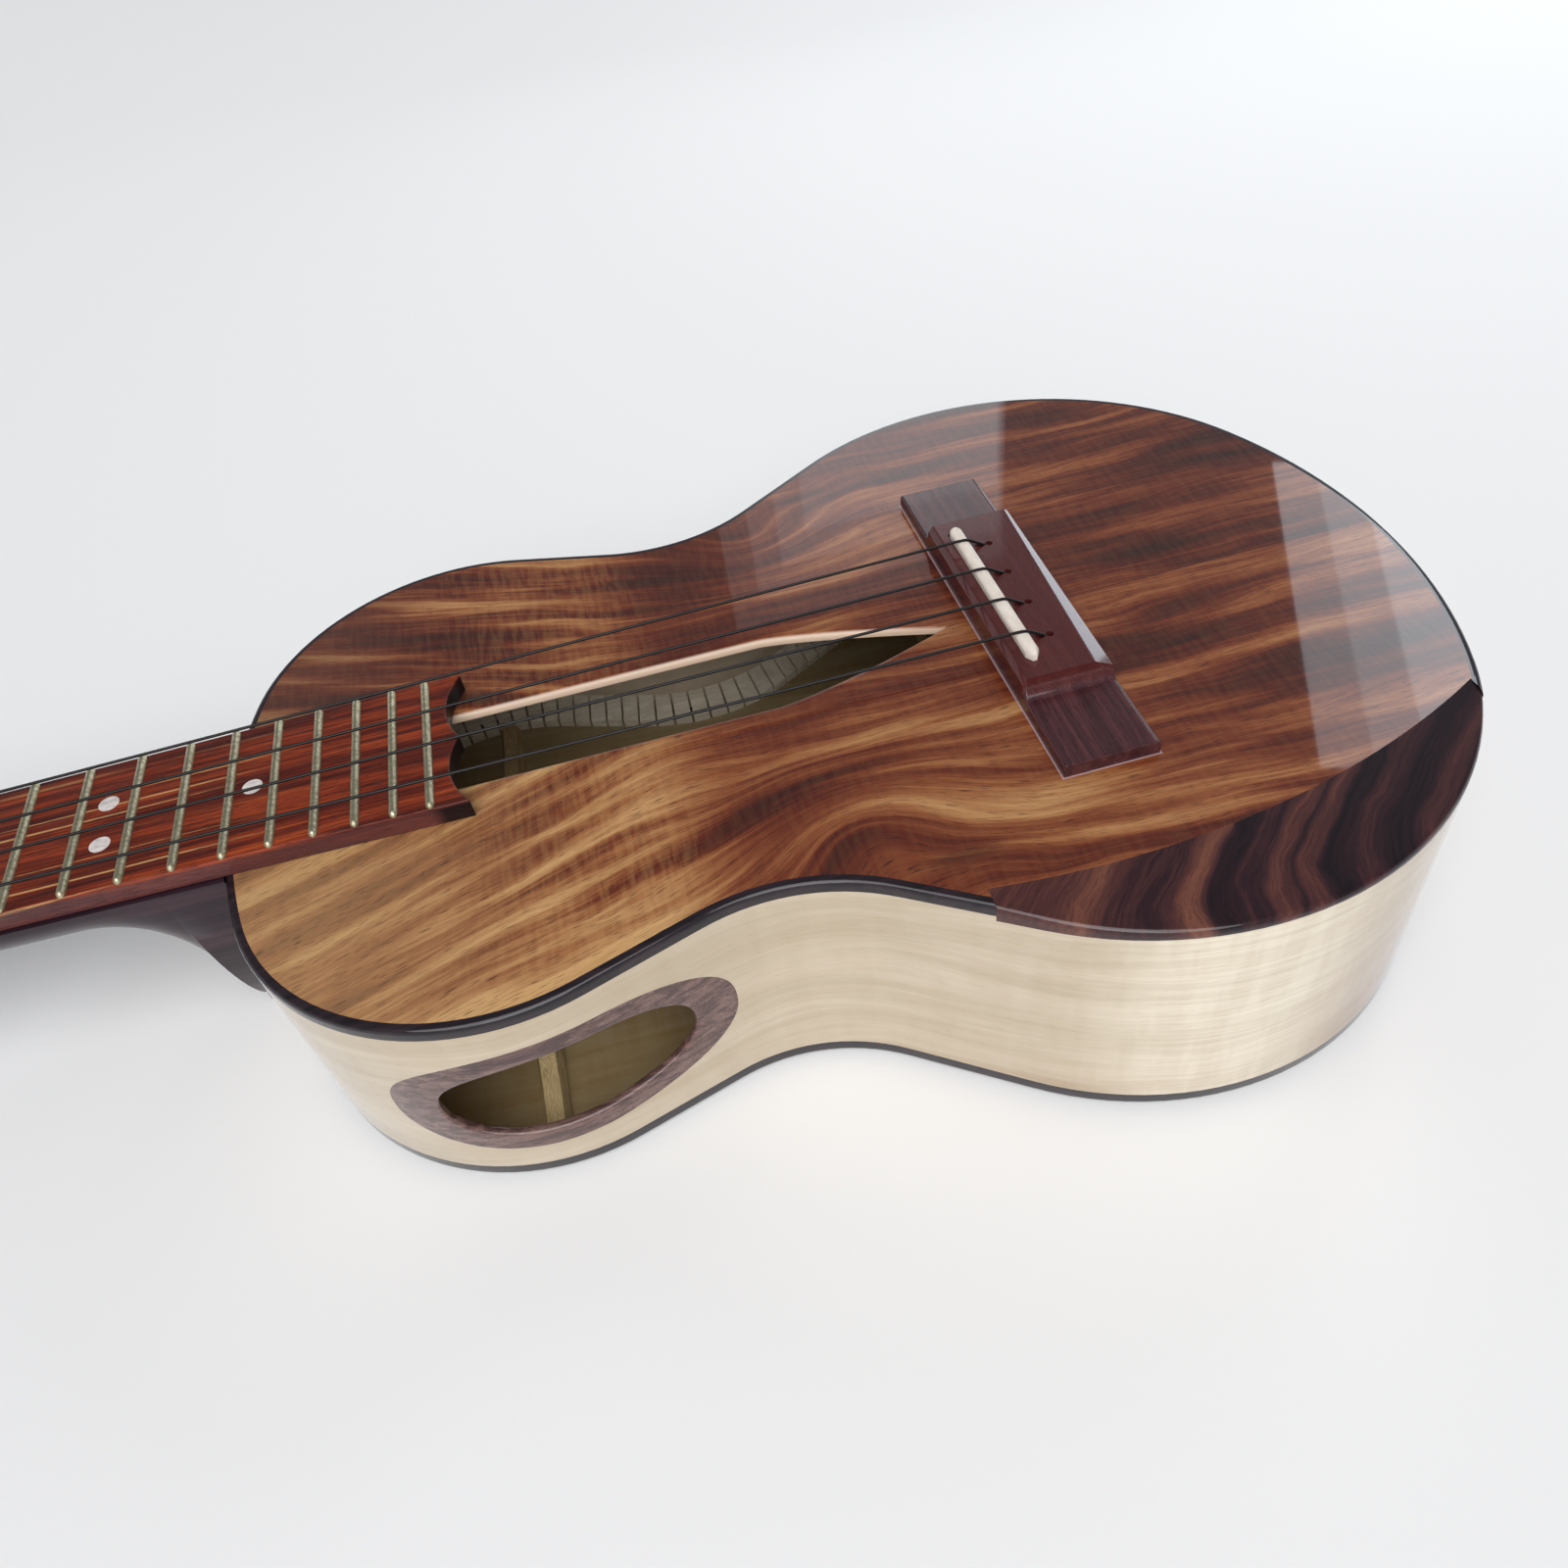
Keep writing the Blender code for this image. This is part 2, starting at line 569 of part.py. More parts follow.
def neck_half_width(x):
    along = max(0.0, min(1.0, -x / NUT_TO_BODY))
    shaft = NECK_BODY_HALF_WIDTH + (NECK_NUT_HALF_WIDTH - NECK_BODY_HALF_WIDTH) * along
    past = nut_edge_x() - x
    flare = smooth(past, NUT_LENGTH, NEAR_TUNER_X - PLATE_WIDTH)
    taper = HEADSTOCK_END_TAPER * smooth(past, FAR_TUNER_X, HEADSTOCK_LENGTH)
    return shaft + flare * (HEADSTOCK_HALF_WIDTH - NECK_NUT_HALF_WIDTH) - taper


def heel_floor(x):
    return back_z(x) + HEEL_CAP_THICKNESS + FIT_GAP


def heel_depth(x):
    """Depth of the neck's rounded section. At the heel's foot it passes the floor, which cuts it flat."""
    flat = HEEL_CAP_HALF_WIDTH / NECK_BODY_HALF_WIDTH
    foot = -heel_floor(0.0) / math.sqrt(1 - flat * flat)
    share = min(1.0, max(0.0, (x - HEEL_START_X) / (-HEEL_FOOT_LENGTH - HEEL_START_X)))
    return NECK_BODY_DEPTH + (foot - NECK_BODY_DEPTH) * (1 - math.sqrt(1 - share * share))


def neck_section(x):
    """Round-backed section under a flat top, turning to a square-edged slab in the headstock."""
    width, top = neck_half_width(x), neck_top(x)
    along = max(0.0, min(1.0, (HEEL_START_X - x) / (HEEL_START_X + NUT_TO_BODY)))
    depth = NECK_BODY_DEPTH + (NECK_NUT_DEPTH - NECK_BODY_DEPTH) * along
    if x > HEEL_START_X:
        depth = heel_depth(x)
    slab = smooth(-x, NUT_TO_BODY, NUT_TO_BODY + NUT_LENGTH + HEADSTOCK_SLAB_LENGTH)
    square = [(1, 0), (1, 0.45), (1, 0.8), (0.985, 0.95), (0.93, 1), (0.5, 1), (0, 1)]
    square += [(-y, z) for y, z in reversed(square[:-1])]
    points = []
    for i, (square_y, square_z) in enumerate(square):
        angle = math.pi * i / (len(square) - 1)
        y = (1 - slab) * width * math.cos(angle) + slab * width * square_y
        z = -(1 - slab) * depth * math.sin(angle) - slab * HEADSTOCK_THICKNESS * square_z
        points.append((x, y, max(top + z, heel_floor(x)) if x > HEEL_START_X else top + z))
    return points


def headstock_end(y):
    share = y / neck_half_width(nut_edge_x() - HEADSTOCK_LENGTH)
    return nut_edge_x() - HEADSTOCK_LENGTH - HEADSTOCK_END_CROWN * (1 - share * share)


def headstock_steps():
    """Distances past the nut at which the headstock's outline is drawn."""
    flare = [NEAR_TUNER_X * share for share in (0.11, 0.22, 0.35, 0.5, 0.65, 1.0)]
    return flare + [FAR_TUNER_X, HEADSTOCK_LENGTH - HEADSTOCK_END_CROWN / 2]


def make_neck(root, skin, cap_skin, plate_skin, holes):
    foot, start = -HEEL_FOOT_LENGTH, HEEL_START_X
    past_joint = end_x(NECK_BODY_HALF_WIDTH) + HEEL_CAP_THICKNESS
    body = prism("body_guide", full_outline(-FIT_GAP), -2 * DEPTH_AT_NECK, CUTTER_REACH, parent=root)
    sweep = [start + (foot - start) * math.sin(math.radians(a)) for a in (75, 60, 48, 36, 24, 12, 0)]
    shaft = [start + (-NUT_TO_BODY + NUT_LENGTH - start) * i / 4 for i in (1, 2, 3, 4)]
    nut = [-NUT_TO_BODY, nut_edge_x() + FIT_GAP, nut_edge_x()]
    head = [nut_edge_x() - step for step in headstock_steps()]
    sections = [neck_section(x) for x in [past_joint, foot / 2, foot] + sweep + shaft + nut + head]
    end = neck_section(nut_edge_x() - HEADSTOCK_LENGTH)
    slope = math.tan(HEADSTOCK_ANGLE)
    sections.append([(headstock_end(y), y, z + (headstock_end(y) - x) * slope) for x, y, z in end])
    neck = loft("neck", sections, skin, root)
    combine(neck, body, "DIFFERENCE")
    combine(neck, holes, "DIFFERENCE")
    half = []
    for i in range(9):
        x = start + (foot - start) * math.sin(math.pi / 2 * (0.9 + 0.1 * i / 8))
        ratio = -heel_floor(x) / heel_depth(x)
        if ratio < 1:
            half.append((x, neck_half_width(x) * math.sqrt(1 - ratio * ratio)))
    half.append((past_joint, HEEL_CAP_HALF_WIDTH))
    outline = half + [(x, -y) for x, y in reversed(half)]
    cap = prism("heel_cap", outline, back_z, lambda x: back_z(x) + HEEL_CAP_THICKNESS, cap_skin, root)
    combine(cap, body, "DIFFERENCE")
    past = [nut_edge_x() - step for step in [FIT_GAP] + headstock_steps()]
    side = [(x, neck_half_width(x)) for x in past]
    width = neck_half_width(nut_edge_x() - HEADSTOCK_LENGTH)
    crown = [(headstock_end(width * (1 - i / 5)), width * (1 - i / 5)) for i in range(11)]
    outline = side + crown + [(x, -y) for x, y in reversed(side)]
    face = lambda x: neck_top(x) + FIT_GAP
    plate = prism("headplate", outline, face, lambda x: face(x) + HEADPLATE_THICKNESS, plate_skin, root)
    combine(plate, holes, "DIFFERENCE")


def fretboard_top():
    return FIT_GAP + FRETBOARD_THICKNESS


def fret_top():
    return fretboard_top() + FIT_GAP + FRET_HEIGHT


def fret_x(number):
    return -NUT_TO_BODY + SCALE_LENGTH * (1 - 2 ** (-number / 12))


def fretboard_half_width(x):
    along = (x + NUT_TO_BODY) / (NUT_TO_BODY + FRETBOARD_END_X)
    return FRETBOARD_NUT_HALF_WIDTH + (FRETBOARD_END_HALF_WIDTH - FRETBOARD_NUT_HALF_WIDTH) * along


def make_fretboard(root, skin, wire):
    """Tapered board whose end is scooped twice like a bracket, with a slot for each fret's tang."""
    width = FRETBOARD_END_HALF_WIDTH
    end = []
    for i in range(17):
        share = 1 - i / 8
        ridge = FRETBOARD_CUSP_SETBACK * (1 - abs(share))
        scoop = FRETBOARD_END_SCOOP * math.sin(math.pi * abs(share)) ** 0.8 if 0 < abs(share) < 1 else 0.0
        end.append((FRETBOARD_END_X - ridge - scoop, share * width))
    start = [(-NUT_TO_BODY + FIT_GAP, side * FRETBOARD_NUT_HALF_WIDTH) for side in (-1, 1)]
    board = prism("fretboard", start + end, FIT_GAP, fretboard_top(), skin, root)
    slots, faces = [], []
    half_slot = FRET_TANG_WIDTH / 2 + FIT_GAP
    bottom = fretboard_top() - FRET_TANG_DEPTH
    for number in range(1, FRET_COUNT + 1):
        x, first = fret_x(number), len(slots)
        for y in (-2 * width, 2 * width):
            slots += [(x - half_slot, y, bottom), (x + half_slot, y, bottom)]
            slots += [(x + half_slot, y, bottom + CUTTER_REACH), (x - half_slot, y, bottom + CUTTER_REACH)]
        quads = [(0, 1, 5, 4), (1, 2, 6, 5), (2, 3, 7, 6), (3, 0, 4, 7), (0, 3, 2, 1), (4, 5, 6, 7)]
        faces += [tuple(first + corner for corner in quad) for quad in quads]
        half, tang = FRET_WIDTH / 2, FRET_TANG_WIDTH / 2
        base = fretboard_top() + FIT_GAP
        crown = [(share, height) for share, height in ((-1, 0.0), (-0.8, 0.55), (-0.35, 0.94))]
        crown += [(-share, height) for share, height in reversed(crown)]
        profile = [(x + share * half, base + height * FRET_HEIGHT) for share, height in crown]
        profile += [(x + tang, base), (x + tang, base - FRET_TANG_DEPTH)]
        profile += [(x - tang, base - FRET_TANG_DEPTH), (x - tang, base)]
        reach = fretboard_half_width(x) - FRET_END_SETBACK
        rows = [[(u, y, z) for u, z in profile] for y in (-reach, reach)]
        loft(f"fret_{number:02d}", rows, wire, root)
    combine(board, solid("fret_slots", slots, faces, parent=root), "DIFFERENCE")


def nut_top():
    return fret_top() + NUT_RISE - FRET_HEIGHT / 2


def make_nut(root, skin):
    back, front = -NUT_TO_BODY - NUT_LENGTH, -NUT_TO_BODY
    high = nut_top()
    fall = 0.4 * NUT_LENGTH
    profile = [(front, FIT_GAP), (front, high), (front - 0.35 * NUT_LENGTH, high)]
    profile += [(back + 0.2 * NUT_LENGTH, high - fall / 2), (back, high - fall), (back, FIT_GAP)]
    half = FRETBOARD_NUT_HALF_WIDTH
    loft("nut", [[(x, y, z) for x, z in profile] for y in (-half, half)], skin, root)


def bridge_base():
    return FIT_GAP


def saddle_x():
    return -NUT_TO_BODY + SCALE_LENGTH + SADDLE_SETBACK


def saddle_top():
    return bridge_base() + BRIDGE_HEIGHT + SADDLE_RISE


def make_bridge(root, skin, saddle_skin, string_holes):
    """Raised middle with a sloped rear edge and a low wing on each side, lofted along the bridge."""
    front, back, base = BRIDGE_FRONT_X, BRIDGE_FRONT_X + BRIDGE_LENGTH, bridge_base()
    high, low = base + BRIDGE_HEIGHT, base + BRIDGE_WING_HEIGHT
    lip, inner = BRIDGE_WING_BEVEL, BRIDGE_MIDDLE_HALF_WIDTH
    end = [(front, base), (front, low - lip), (front, low - lip), (back, low - lip)]
    wing = [(front, base), (front, low - lip), (front + lip, low), (back - lip, low)]
    middle = [(front, base), (front, high - BRIDGE_FRONT_BEVEL), (front + BRIDGE_FRONT_BEVEL, high)]
    middle += [(back - BRIDGE_REAR_BEVEL, high), (back, low), (back, base)]
    end += [(back, low - lip), (back, base)]
    wing += [(back, low - lip), (back, base)]
    half = [(BRIDGE_HALF_WIDTH, end), (BRIDGE_HALF_WIDTH - lip, wing), (inner + BRIDGE_RAMP, wing)]
    half.append((inner, middle))
    stations = [(-y, profile) for y, profile in half] + half[::-1]
    sections = [[(x, y, z) for x, z in profile] for y, profile in stations]
    bridge = loft("bridge", sections, skin, root)
    slot_half = SADDLE_THICKNESS / 2 + FIT_GAP
    rim = []
    for sign in (1, -1):
        for i in range(7):
            angle = math.pi * (i / 6 - 0.5)
            y = sign * (SADDLE_LENGTH / 2 - SADDLE_THICKNESS / 2 + math.cos(angle) * SADDLE_THICKNESS / 2)
            rim.append((-sign * math.sin(angle) * SADDLE_THICKNESS / 2, y))
    grow = slot_half / (SADDLE_THICKNESS / 2)
    slot = [(saddle_x() + x * grow, y + math.copysign(FIT_GAP, y)) for x, y in rim]
    floor = high - SADDLE_SLOT_DEPTH
    combine(bridge, prism("saddle_slot", slot, floor, high + CUTTER_REACH, parent=root), "DIFFERENCE")
    combine(bridge, string_holes, "DIFFERENCE")
    crown = saddle_top()
    sections = []
    levels = [(floor + FIT_GAP, 1.0), (crown - 0.4 * SADDLE_RISE, 1.0)]
    levels += [(crown - 0.13 * SADDLE_RISE, 0.8), (crown, 0.3)]
    for z, width in levels:
        end = (1 - width) * SADDLE_THICKNESS / 2
        sections.append([(saddle_x() + x * width, y - math.copysign(end, y), z) for x, y in rim])
    loft("saddle", sections, saddle_skin, root)


def string_lanes():
    return [(f"string_{note}", i - 1.5) for i, note in enumerate(("g", "c", "e", "a"))]


def make_pins(name, outlines, root):
    """One guide of several separate pins, each between two equal outlines of points."""
    points, faces = [], []
    for low, high in outlines:
        first, sides = len(points), len(low)
        points += low + high
        for i in range(sides):
            j = (i + 1) % sides
            faces.append((first + i, first + j, first + sides + j, first + sides + i))
        faces += [tuple(range(first, first + sides)), tuple(range(first + sides, first + 2 * sides))]
    return solid(name, points, faces, parent=root)


def make_string_holes(root):
    outlines = []
    for _, lane in string_lanes():
        y = lane * BRIDGE_STRING_SPACING
        rim = [(STRING_HOLE_X + u, y + v) for u, v in circle(STRING_HOLE_RADIUS, 8)]
        outlines.append([[(*point, z) for point in rim] for z in (-2 * CUTTER_REACH, 2 * CUTTER_REACH)])
    return make_pins("string_holes", outlines, root)


def headstock_frame():
    """Headstock coordinates: origin on the wooden face behind the nut, Z square to that face."""
    origin = Vector((nut_edge_x(), 0.0, -headstock_drop()))
    return Matrix.Translation(origin) @ Matrix.Rotation(-HEADSTOCK_ANGLE, 4, "Y")


def tuner_places():
    """Number, place along the headstock and side of each machine head, from the first string's on."""
    return [(1, NEAR_TUNER_X, -1), (2, FAR_TUNER_X, -1), (3, FAR_TUNER_X, 1), (4, NEAR_TUNER_X, 1)]


def tuner_place(along, side):
    width = neck_half_width(nut_edge_x() - along) - TUNER_EDGE_SETBACK
    return Matrix.Translation((-along, side * width, 0.0))


def headstock_back():
    return -(HEADSTOCK_THICKNESS) * math.cos(HEADSTOCK_ANGLE)


def worm_z():
    worm_outer = WORM_PITCH_RADIUS + TOOTH_HEIGHT
    return headstock_back() - FIT_GAP - PLATE_THICKNESS - FIT_GAP - worm_outer


def worm_x():
    return WHEEL_PITCH_RADIUS + WORM_PITCH_RADIUS


def post_hole_radius():
    return POST_RADIUS + FIT_GAP


def make_post_holes(root):
    frame = headstock_frame()
    rim = circle(post_hole_radius(), 20)
    outlines = []
    for _, along, side in tuner_places():
        place = frame @ tuner_place(along, side)
        heights = (-4 * CUTTER_REACH, 2 * CUTTER_REACH)
        outlines.append([[place @ Vector((x, y, z)) for x, y in rim] for z in heights])
    return make_pins("post_holes", outlines, root)


def least_gap(points, steps):
    """Least clear distance between a winding's turns, measured on its points with steps to a turn."""
    reach = [(a - b).length for i, a in enumerate(points) for b in points[i + steps // 2 :]]
    return min(reach) - 2 * STRING_RADIUS


def make_string(name, lane, along, side, root, skin):
    """String from its knot under the bridge plate, over saddle and nut, wound down round its post."""
    y = lane * BRIDGE_STRING_SPACING
    below = inside_top() - BRIDGE_PLATE_THICKNESS - FIT_GAP
    clear = STRING_RADIUS + FIT_GAP
    thick = KNOT_RADIUS / STRING_RADIUS
    knot = ((1.0, 0.6 * thick), (0.7, thick), (0.3, thick), (0.0, 1.0))
    points = [((STRING_HOLE_X, y, below - share * KNOT_LENGTH), width) for share, width in knot]
    points.append(((STRING_HOLE_X, y, bridge_base() + BRIDGE_HEIGHT + clear), 1.0))
    for edge in (1, -1):
        x = saddle_x() + edge * SADDLE_THICKNESS / 6
        points.append(((x, y, saddle_top() + clear), 1.0))
    nut_y = lane * NUT_STRING_SPACING
    points.append(((-NUT_TO_BODY - 0.2 * NUT_LENGTH, nut_y, nut_top() + clear), 1.0))
    frame = headstock_frame()
    leave = Vector((-NUT_TO_BODY - 0.5 * NUT_LENGTH, nut_y, nut_top() + clear))
    points.append((leave, 1.0))
    start = frame.inverted() @ leave
    centre = tuner_place(along, side).translation
    radius = POST_RADIUS + clear
    away = start - centre
    touch = math.atan2(away.y, away.x) - side * math.acos(radius / math.hypot(away.x, away.y))
    pitch = 2 * STRING_RADIUS + STRING_WRAP_GAP
    winding = []
    for i in range(10 * STRING_WRAPS + 1):
        angle = touch - side * math.tau * i / 10
        turn = Vector((radius * math.cos(angle), radius * math.sin(angle), 0.0))
        turn.z = POST_HEIGHT - STRING_BELOW_POST_TOP - pitch * i / 10
        winding.append(frame @ (centre + turn))
    points += [(point, 1.0) for point in winding]
    curve = bpy.data.curves.new(name, "CURVE")
    curve.dimensions = "3D"
    curve.bevel_depth = STRING_RADIUS
    curve.bevel_resolution = 1
    curve.use_fill_caps = True
    spline = curve.splines.new("POLY")
    spline.points.add(len(points) - 1)
    for target, (place, width) in zip(spline.points, points):
        target.co = (*place, 1.0)
        target.radius = width
    made = bpy.data.objects.new(name, curve)
    bpy.context.collection.objects.link(made)
    made.parent = root
    curve.materials.append(skin)
    print(f"{name}: least gap between turns {least_gap(winding, 10) / MM:.2f} mm")


def lead():
    return math.tau * WHEEL_PITCH_RADIUS / WHEEL_TEETH


def wheel_section(z, turn):
    points = []
    for tooth in range(WHEEL_TEETH):
        middle = math.tau * tooth / WHEEL_TEETH + turn
        for share, radius in ((-0.27, -1.3), (-0.13, 1.0), (0.13, 1.0), (0.27, -1.3)):
            angle = middle + share * math.tau / WHEEL_TEETH
            reach = WHEEL_PITCH_RADIUS + radius * TOOTH_HEIGHT
            points.append((reach * math.cos(angle), reach * math.sin(angle), z))
    return points


def make_post(number, side, place, root, skin):
    """String post with its toothed wheel at the foot. The teeth lean with the worm's thread."""
    lean = lead() / (math.tau * WORM_PITCH_RADIUS) / WHEEL_PITCH_RADIUS
    sections = []
    for z in (worm_z() - WHEEL_THICKNESS / 2, worm_z() + WHEEL_THICKNESS / 2):
        sections.append(wheel_section(z, (z - worm_z()) * lean))
    shaft = [math.atan2(y, x) for x, y, _ in sections[-1]]
    for z, radius in ((sections[-1][0][2], 1.0), (POST_HEIGHT - 1 * MM, 1.0), (POST_HEIGHT, 0.8)):
        row = [(radius * POST_RADIUS * math.cos(a), radius * POST_RADIUS * math.sin(a), z) for a in shaft]
        sections.append(row)
    sections = [[(x, side * y, z) for x, y, z in row] for row in sections]
    return loft(f"tuner_post_{number}", sections, skin, root, place=place)


def make_button(number, side, reach, place, root, skin):
    """Button, shaft and worm in one piece along the shaft's axis, with the thread as a helix."""
    steps, around = 8, 12
    half = WORM_TURNS * lead() / 2
    lug_end = half + 2 * RUNNING_GAP + LUG_THICKNESS
    rows = [(-lug_end - SHAFT_PAST_LUG, SHAFT_RADIUS, SHAFT_RADIUS), (-half, SHAFT_RADIUS, SHAFT_RADIUS)]
    angles = [math.tau * i / around for i in range(around)]
    sections = [[(rx * math.cos(a), y, rz * math.sin(a)) for a in angles] for y, rx, rz in rows]
    for step in range(steps * WORM_TURNS + 1):
        y = -half + lead() * step / steps
        row = []
        for angle in angles:
            phase = (y / lead() - (math.pi - angle) / math.tau + 0.5) % 1.0
            crest = max(-1.0, min(1.0, (TOOTH_SHARE - 2 * min(phase, 1 - phase)) * THREAD_STEEPNESS))
            end_fade = min(1.0, (half - abs(y)) / (lead() / 2))
            radius = WORM_PITCH_RADIUS + TOOTH_HEIGHT * (-1 + (crest + 1) * end_fade)
            row.append((radius * math.cos(angle), y, radius * math.sin(angle)))
        sections.append(row)
    tail = [(half, SHAFT_RADIUS, SHAFT_RADIUS), (reach - 0.15 * BUTTON_RADIUS, SHAFT_RADIUS, SHAFT_RADIUS)]
    tail += [(reach, 0.38 * BUTTON_RADIUS, 0.3 * BUTTON_RADIUS)]
    for share, grow in ((0.12, 0.72), (0.3, 0.95), (0.55, 1.0), (0.8, 0.9), (0.95, 0.6), (1.0, 0.25)):
        flat = BUTTON_THICKNESS / (2 * BUTTON_RADIUS)
        tail.append((reach + share * 2 * BUTTON_RADIUS, grow * BUTTON_RADIUS, grow * flat * BUTTON_RADIUS))
    sections += [[(rx * math.cos(a), y, rz * math.sin(a)) for a in angles] for y, rx, rz in tail]
    sections = [[(x, side * y, z) for x, y, z in row] for row in sections]
    return loft(f"tuner_button_{number}", sections, skin, root, place=place)


def box_points(x0, x1, y0, y1, z0, z1):
    return [[(x, y, z) for x, y in ((x0, y0), (x1, y0), (x1, y1), (x0, y1))] for z in (z0, z1)]


def make_base(number, place, holes, root, skin):
    """Plate screwed under the headstock, with two bored lugs for the worm's shaft."""
    high = headstock_back() - FIT_GAP
    low = high - PLATE_THICKNESS
    foot = worm_z() - SHAFT_RADIUS - LUG_WALL
    inner = WORM_TURNS * lead() / 2 + RUNNING_GAP
    outer = inner + LUG_THICKNESS
    start, end = worm_x() - SHAFT_RADIUS - LUG_WALL, worm_x() + SHAFT_RADIUS + LUG_WALL
    half = PLATE_WIDTH / 2
    plate = box_points(-half, end + PLATE_PAST_LUG, -half, half, low, high)
    base = loft(f"tuner_base_{number}", plate, skin, root, place=place)
    for sign in (-1, 1):
        y0, y1 = sorted((sign * inner, sign * outer))
        lug = box_points(start, end, y0, y1, foot, high - PLATE_THICKNESS / 2)
        combine(base, loft(f"lug_{number}_{sign}", lug, None, root, place=place), "UNION")
    ends = []
    for y in (-PLATE_WIDTH, PLATE_WIDTH):
        ends.append([(worm_x() + x, y, worm_z() + z) for x, z in circle(SHAFT_RADIUS + RUNNING_GAP, 12)])
    combine(base, loft(f"lug_bore_{number}", ends, None, root, place=place), "DIFFERENCE")
    combine(base, holes, "DIFFERENCE")


def make_tuners(root, plate_skin, post_skin, button_skin, string_skin, holes):
    lanes = dict(enumerate(string_lanes(), start=1))
    for number, along, side in tuner_places():
        place = headstock_frame() @ tuner_place(along, side)
        make_base(number, place, holes, root, plate_skin)
        make_post(number, side, place, root, post_skin)
        axle = place @ Matrix.Translation((worm_x(), 0.0, worm_z()))
        make_button(number, side, TUNER_EDGE_SETBACK + BUTTON_CLEAR_OF_EDGE, axle, root, button_skin)
        name, lane = lanes[number]
        make_string(name, lane, along, side, root, string_skin)


def make_root():
    middle = Vector((BODY_LENGTH / 2, 0.0, back_z(BODY_LENGTH / 2)))
    root = bpy.data.objects.new("instrument_frame", None)
    bpy.context.collection.objects.link(root)
    root.matrix_world = Matrix.Rotation(-TILT, 4, "Y") @ Matrix.Translation(-middle)
    return root


def main():
    clear_scene()
    root = make_root()
    top_wood = material("figured_top", (0.36, 0.14, 0.045), 0.15)
    pale_wood = material("pale_side", (0.72, 0.52, 0.30), 0.2)
    rosewood = material("rosewood", (0.11, 0.045, 0.03), 0.35)
    striped = material("striped_ebony", (0.06, 0.03, 0.02), 0.2)
    dark = material("dark_binding", (0.02, 0.018, 0.022), 0.15)
    spruce = material("inside_wood", (0.60, 0.45, 0.24), 0.6)
    mahogany = material("neck_wood", (0.13, 0.06, 0.05), 0.35)
    board_wood = material("fretboard_wood", (0.20, 0.06, 0.03), 0.35)
    bone = material("bone", (0.85, 0.80, 0.70), 0.35)
    wire = material("fret_wire", (0.55, 0.50, 0.40), 0.3, 1.0)
    nickel = material("nickel", (0.70, 0.70, 0.68), 0.2, 1.0)
    ivory = material("button_ivory", (0.80, 0.76, 0.66), 0.3)
    nylon = material("nylon", (0.02, 0.02, 0.02), 0.3)
    pocket = make_armrest_pocket(root)
    string_holes = make_string_holes(root)
    post_holes = make_post_holes(root)
    make_soundboard(root, top_wood, pocket)
    make_back(root, pale_wood)
    make_bindings(root, dark, pocket)
    make_armrest(root, striped)
    make_ribs(root, pale_wood, rosewood, pocket)
    make_linings(root, spruce, pocket)
    make_blocks(root, mahogany)
    plate = make_braces(root, spruce, rosewood)
    combine(bpy.data.objects["soundboard"], string_holes, "DIFFERENCE")
    combine(plate, string_holes, "DIFFERENCE")
    make_neck(root, mahogany, rosewood, rosewood, post_holes)
    make_fretboard(root, board_wood, wire)
    make_nut(root, bone)
    make_bridge(root, rosewood, bone, string_holes)
    make_tuners(root, nickel, nickel, ivory, nylon, post_holes)


main()
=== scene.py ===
import math

import bmesh
import bpy
from mathutils import Matrix, Vector


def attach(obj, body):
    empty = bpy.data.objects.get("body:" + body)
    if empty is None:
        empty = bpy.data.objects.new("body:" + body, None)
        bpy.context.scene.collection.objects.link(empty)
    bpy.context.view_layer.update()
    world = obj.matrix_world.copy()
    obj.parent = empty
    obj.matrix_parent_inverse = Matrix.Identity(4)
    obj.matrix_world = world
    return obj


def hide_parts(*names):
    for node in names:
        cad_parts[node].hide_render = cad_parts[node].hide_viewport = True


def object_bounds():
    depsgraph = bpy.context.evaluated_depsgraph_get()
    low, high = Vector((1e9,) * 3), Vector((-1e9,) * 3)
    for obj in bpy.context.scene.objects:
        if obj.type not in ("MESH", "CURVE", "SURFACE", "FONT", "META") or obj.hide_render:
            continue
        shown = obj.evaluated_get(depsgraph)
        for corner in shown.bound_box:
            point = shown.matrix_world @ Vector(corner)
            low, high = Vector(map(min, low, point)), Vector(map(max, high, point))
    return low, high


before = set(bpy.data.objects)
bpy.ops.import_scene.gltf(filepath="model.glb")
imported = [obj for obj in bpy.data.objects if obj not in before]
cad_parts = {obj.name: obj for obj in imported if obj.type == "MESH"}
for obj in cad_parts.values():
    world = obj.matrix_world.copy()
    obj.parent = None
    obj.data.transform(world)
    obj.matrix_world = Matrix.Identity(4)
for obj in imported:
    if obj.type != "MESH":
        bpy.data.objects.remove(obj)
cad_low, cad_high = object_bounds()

# The body's bent sides. Two thin ribs of pale, softly curled hardwood are bent over a hot pipe to the
# outline, glued to the end blocks and linings, then sanded and lacquered to a high gloss. All shapes
# below are drawn in millimetres along the instrument: X from the neck joint, Y to treble, Z from the top.
TAPER = 0.055
NECK_DEPTH = 60.0
BODY_LENGTH = 307.4
RIB_THICKNESS = 2.2
BINDING_WIDTH = 2.2
TOP_BINDING_HEIGHT = 3.2
BACK_BINDING_HEIGHT = 4.2
BOUTS = ((61.2, 82.9, 58.3), (121.0, 69.0, 48.68), (219.2, 107.6, 83.2))
to_world = Matrix.Rotation(-math.atan(TAPER), 4, "Y") @ Matrix.Translation((-0.1537, 0.0, 0.0684535))
to_world @= Matrix.Scale(0.001, 4)


def back_at(x):
    return -(NECK_DEPTH + TAPER * x)


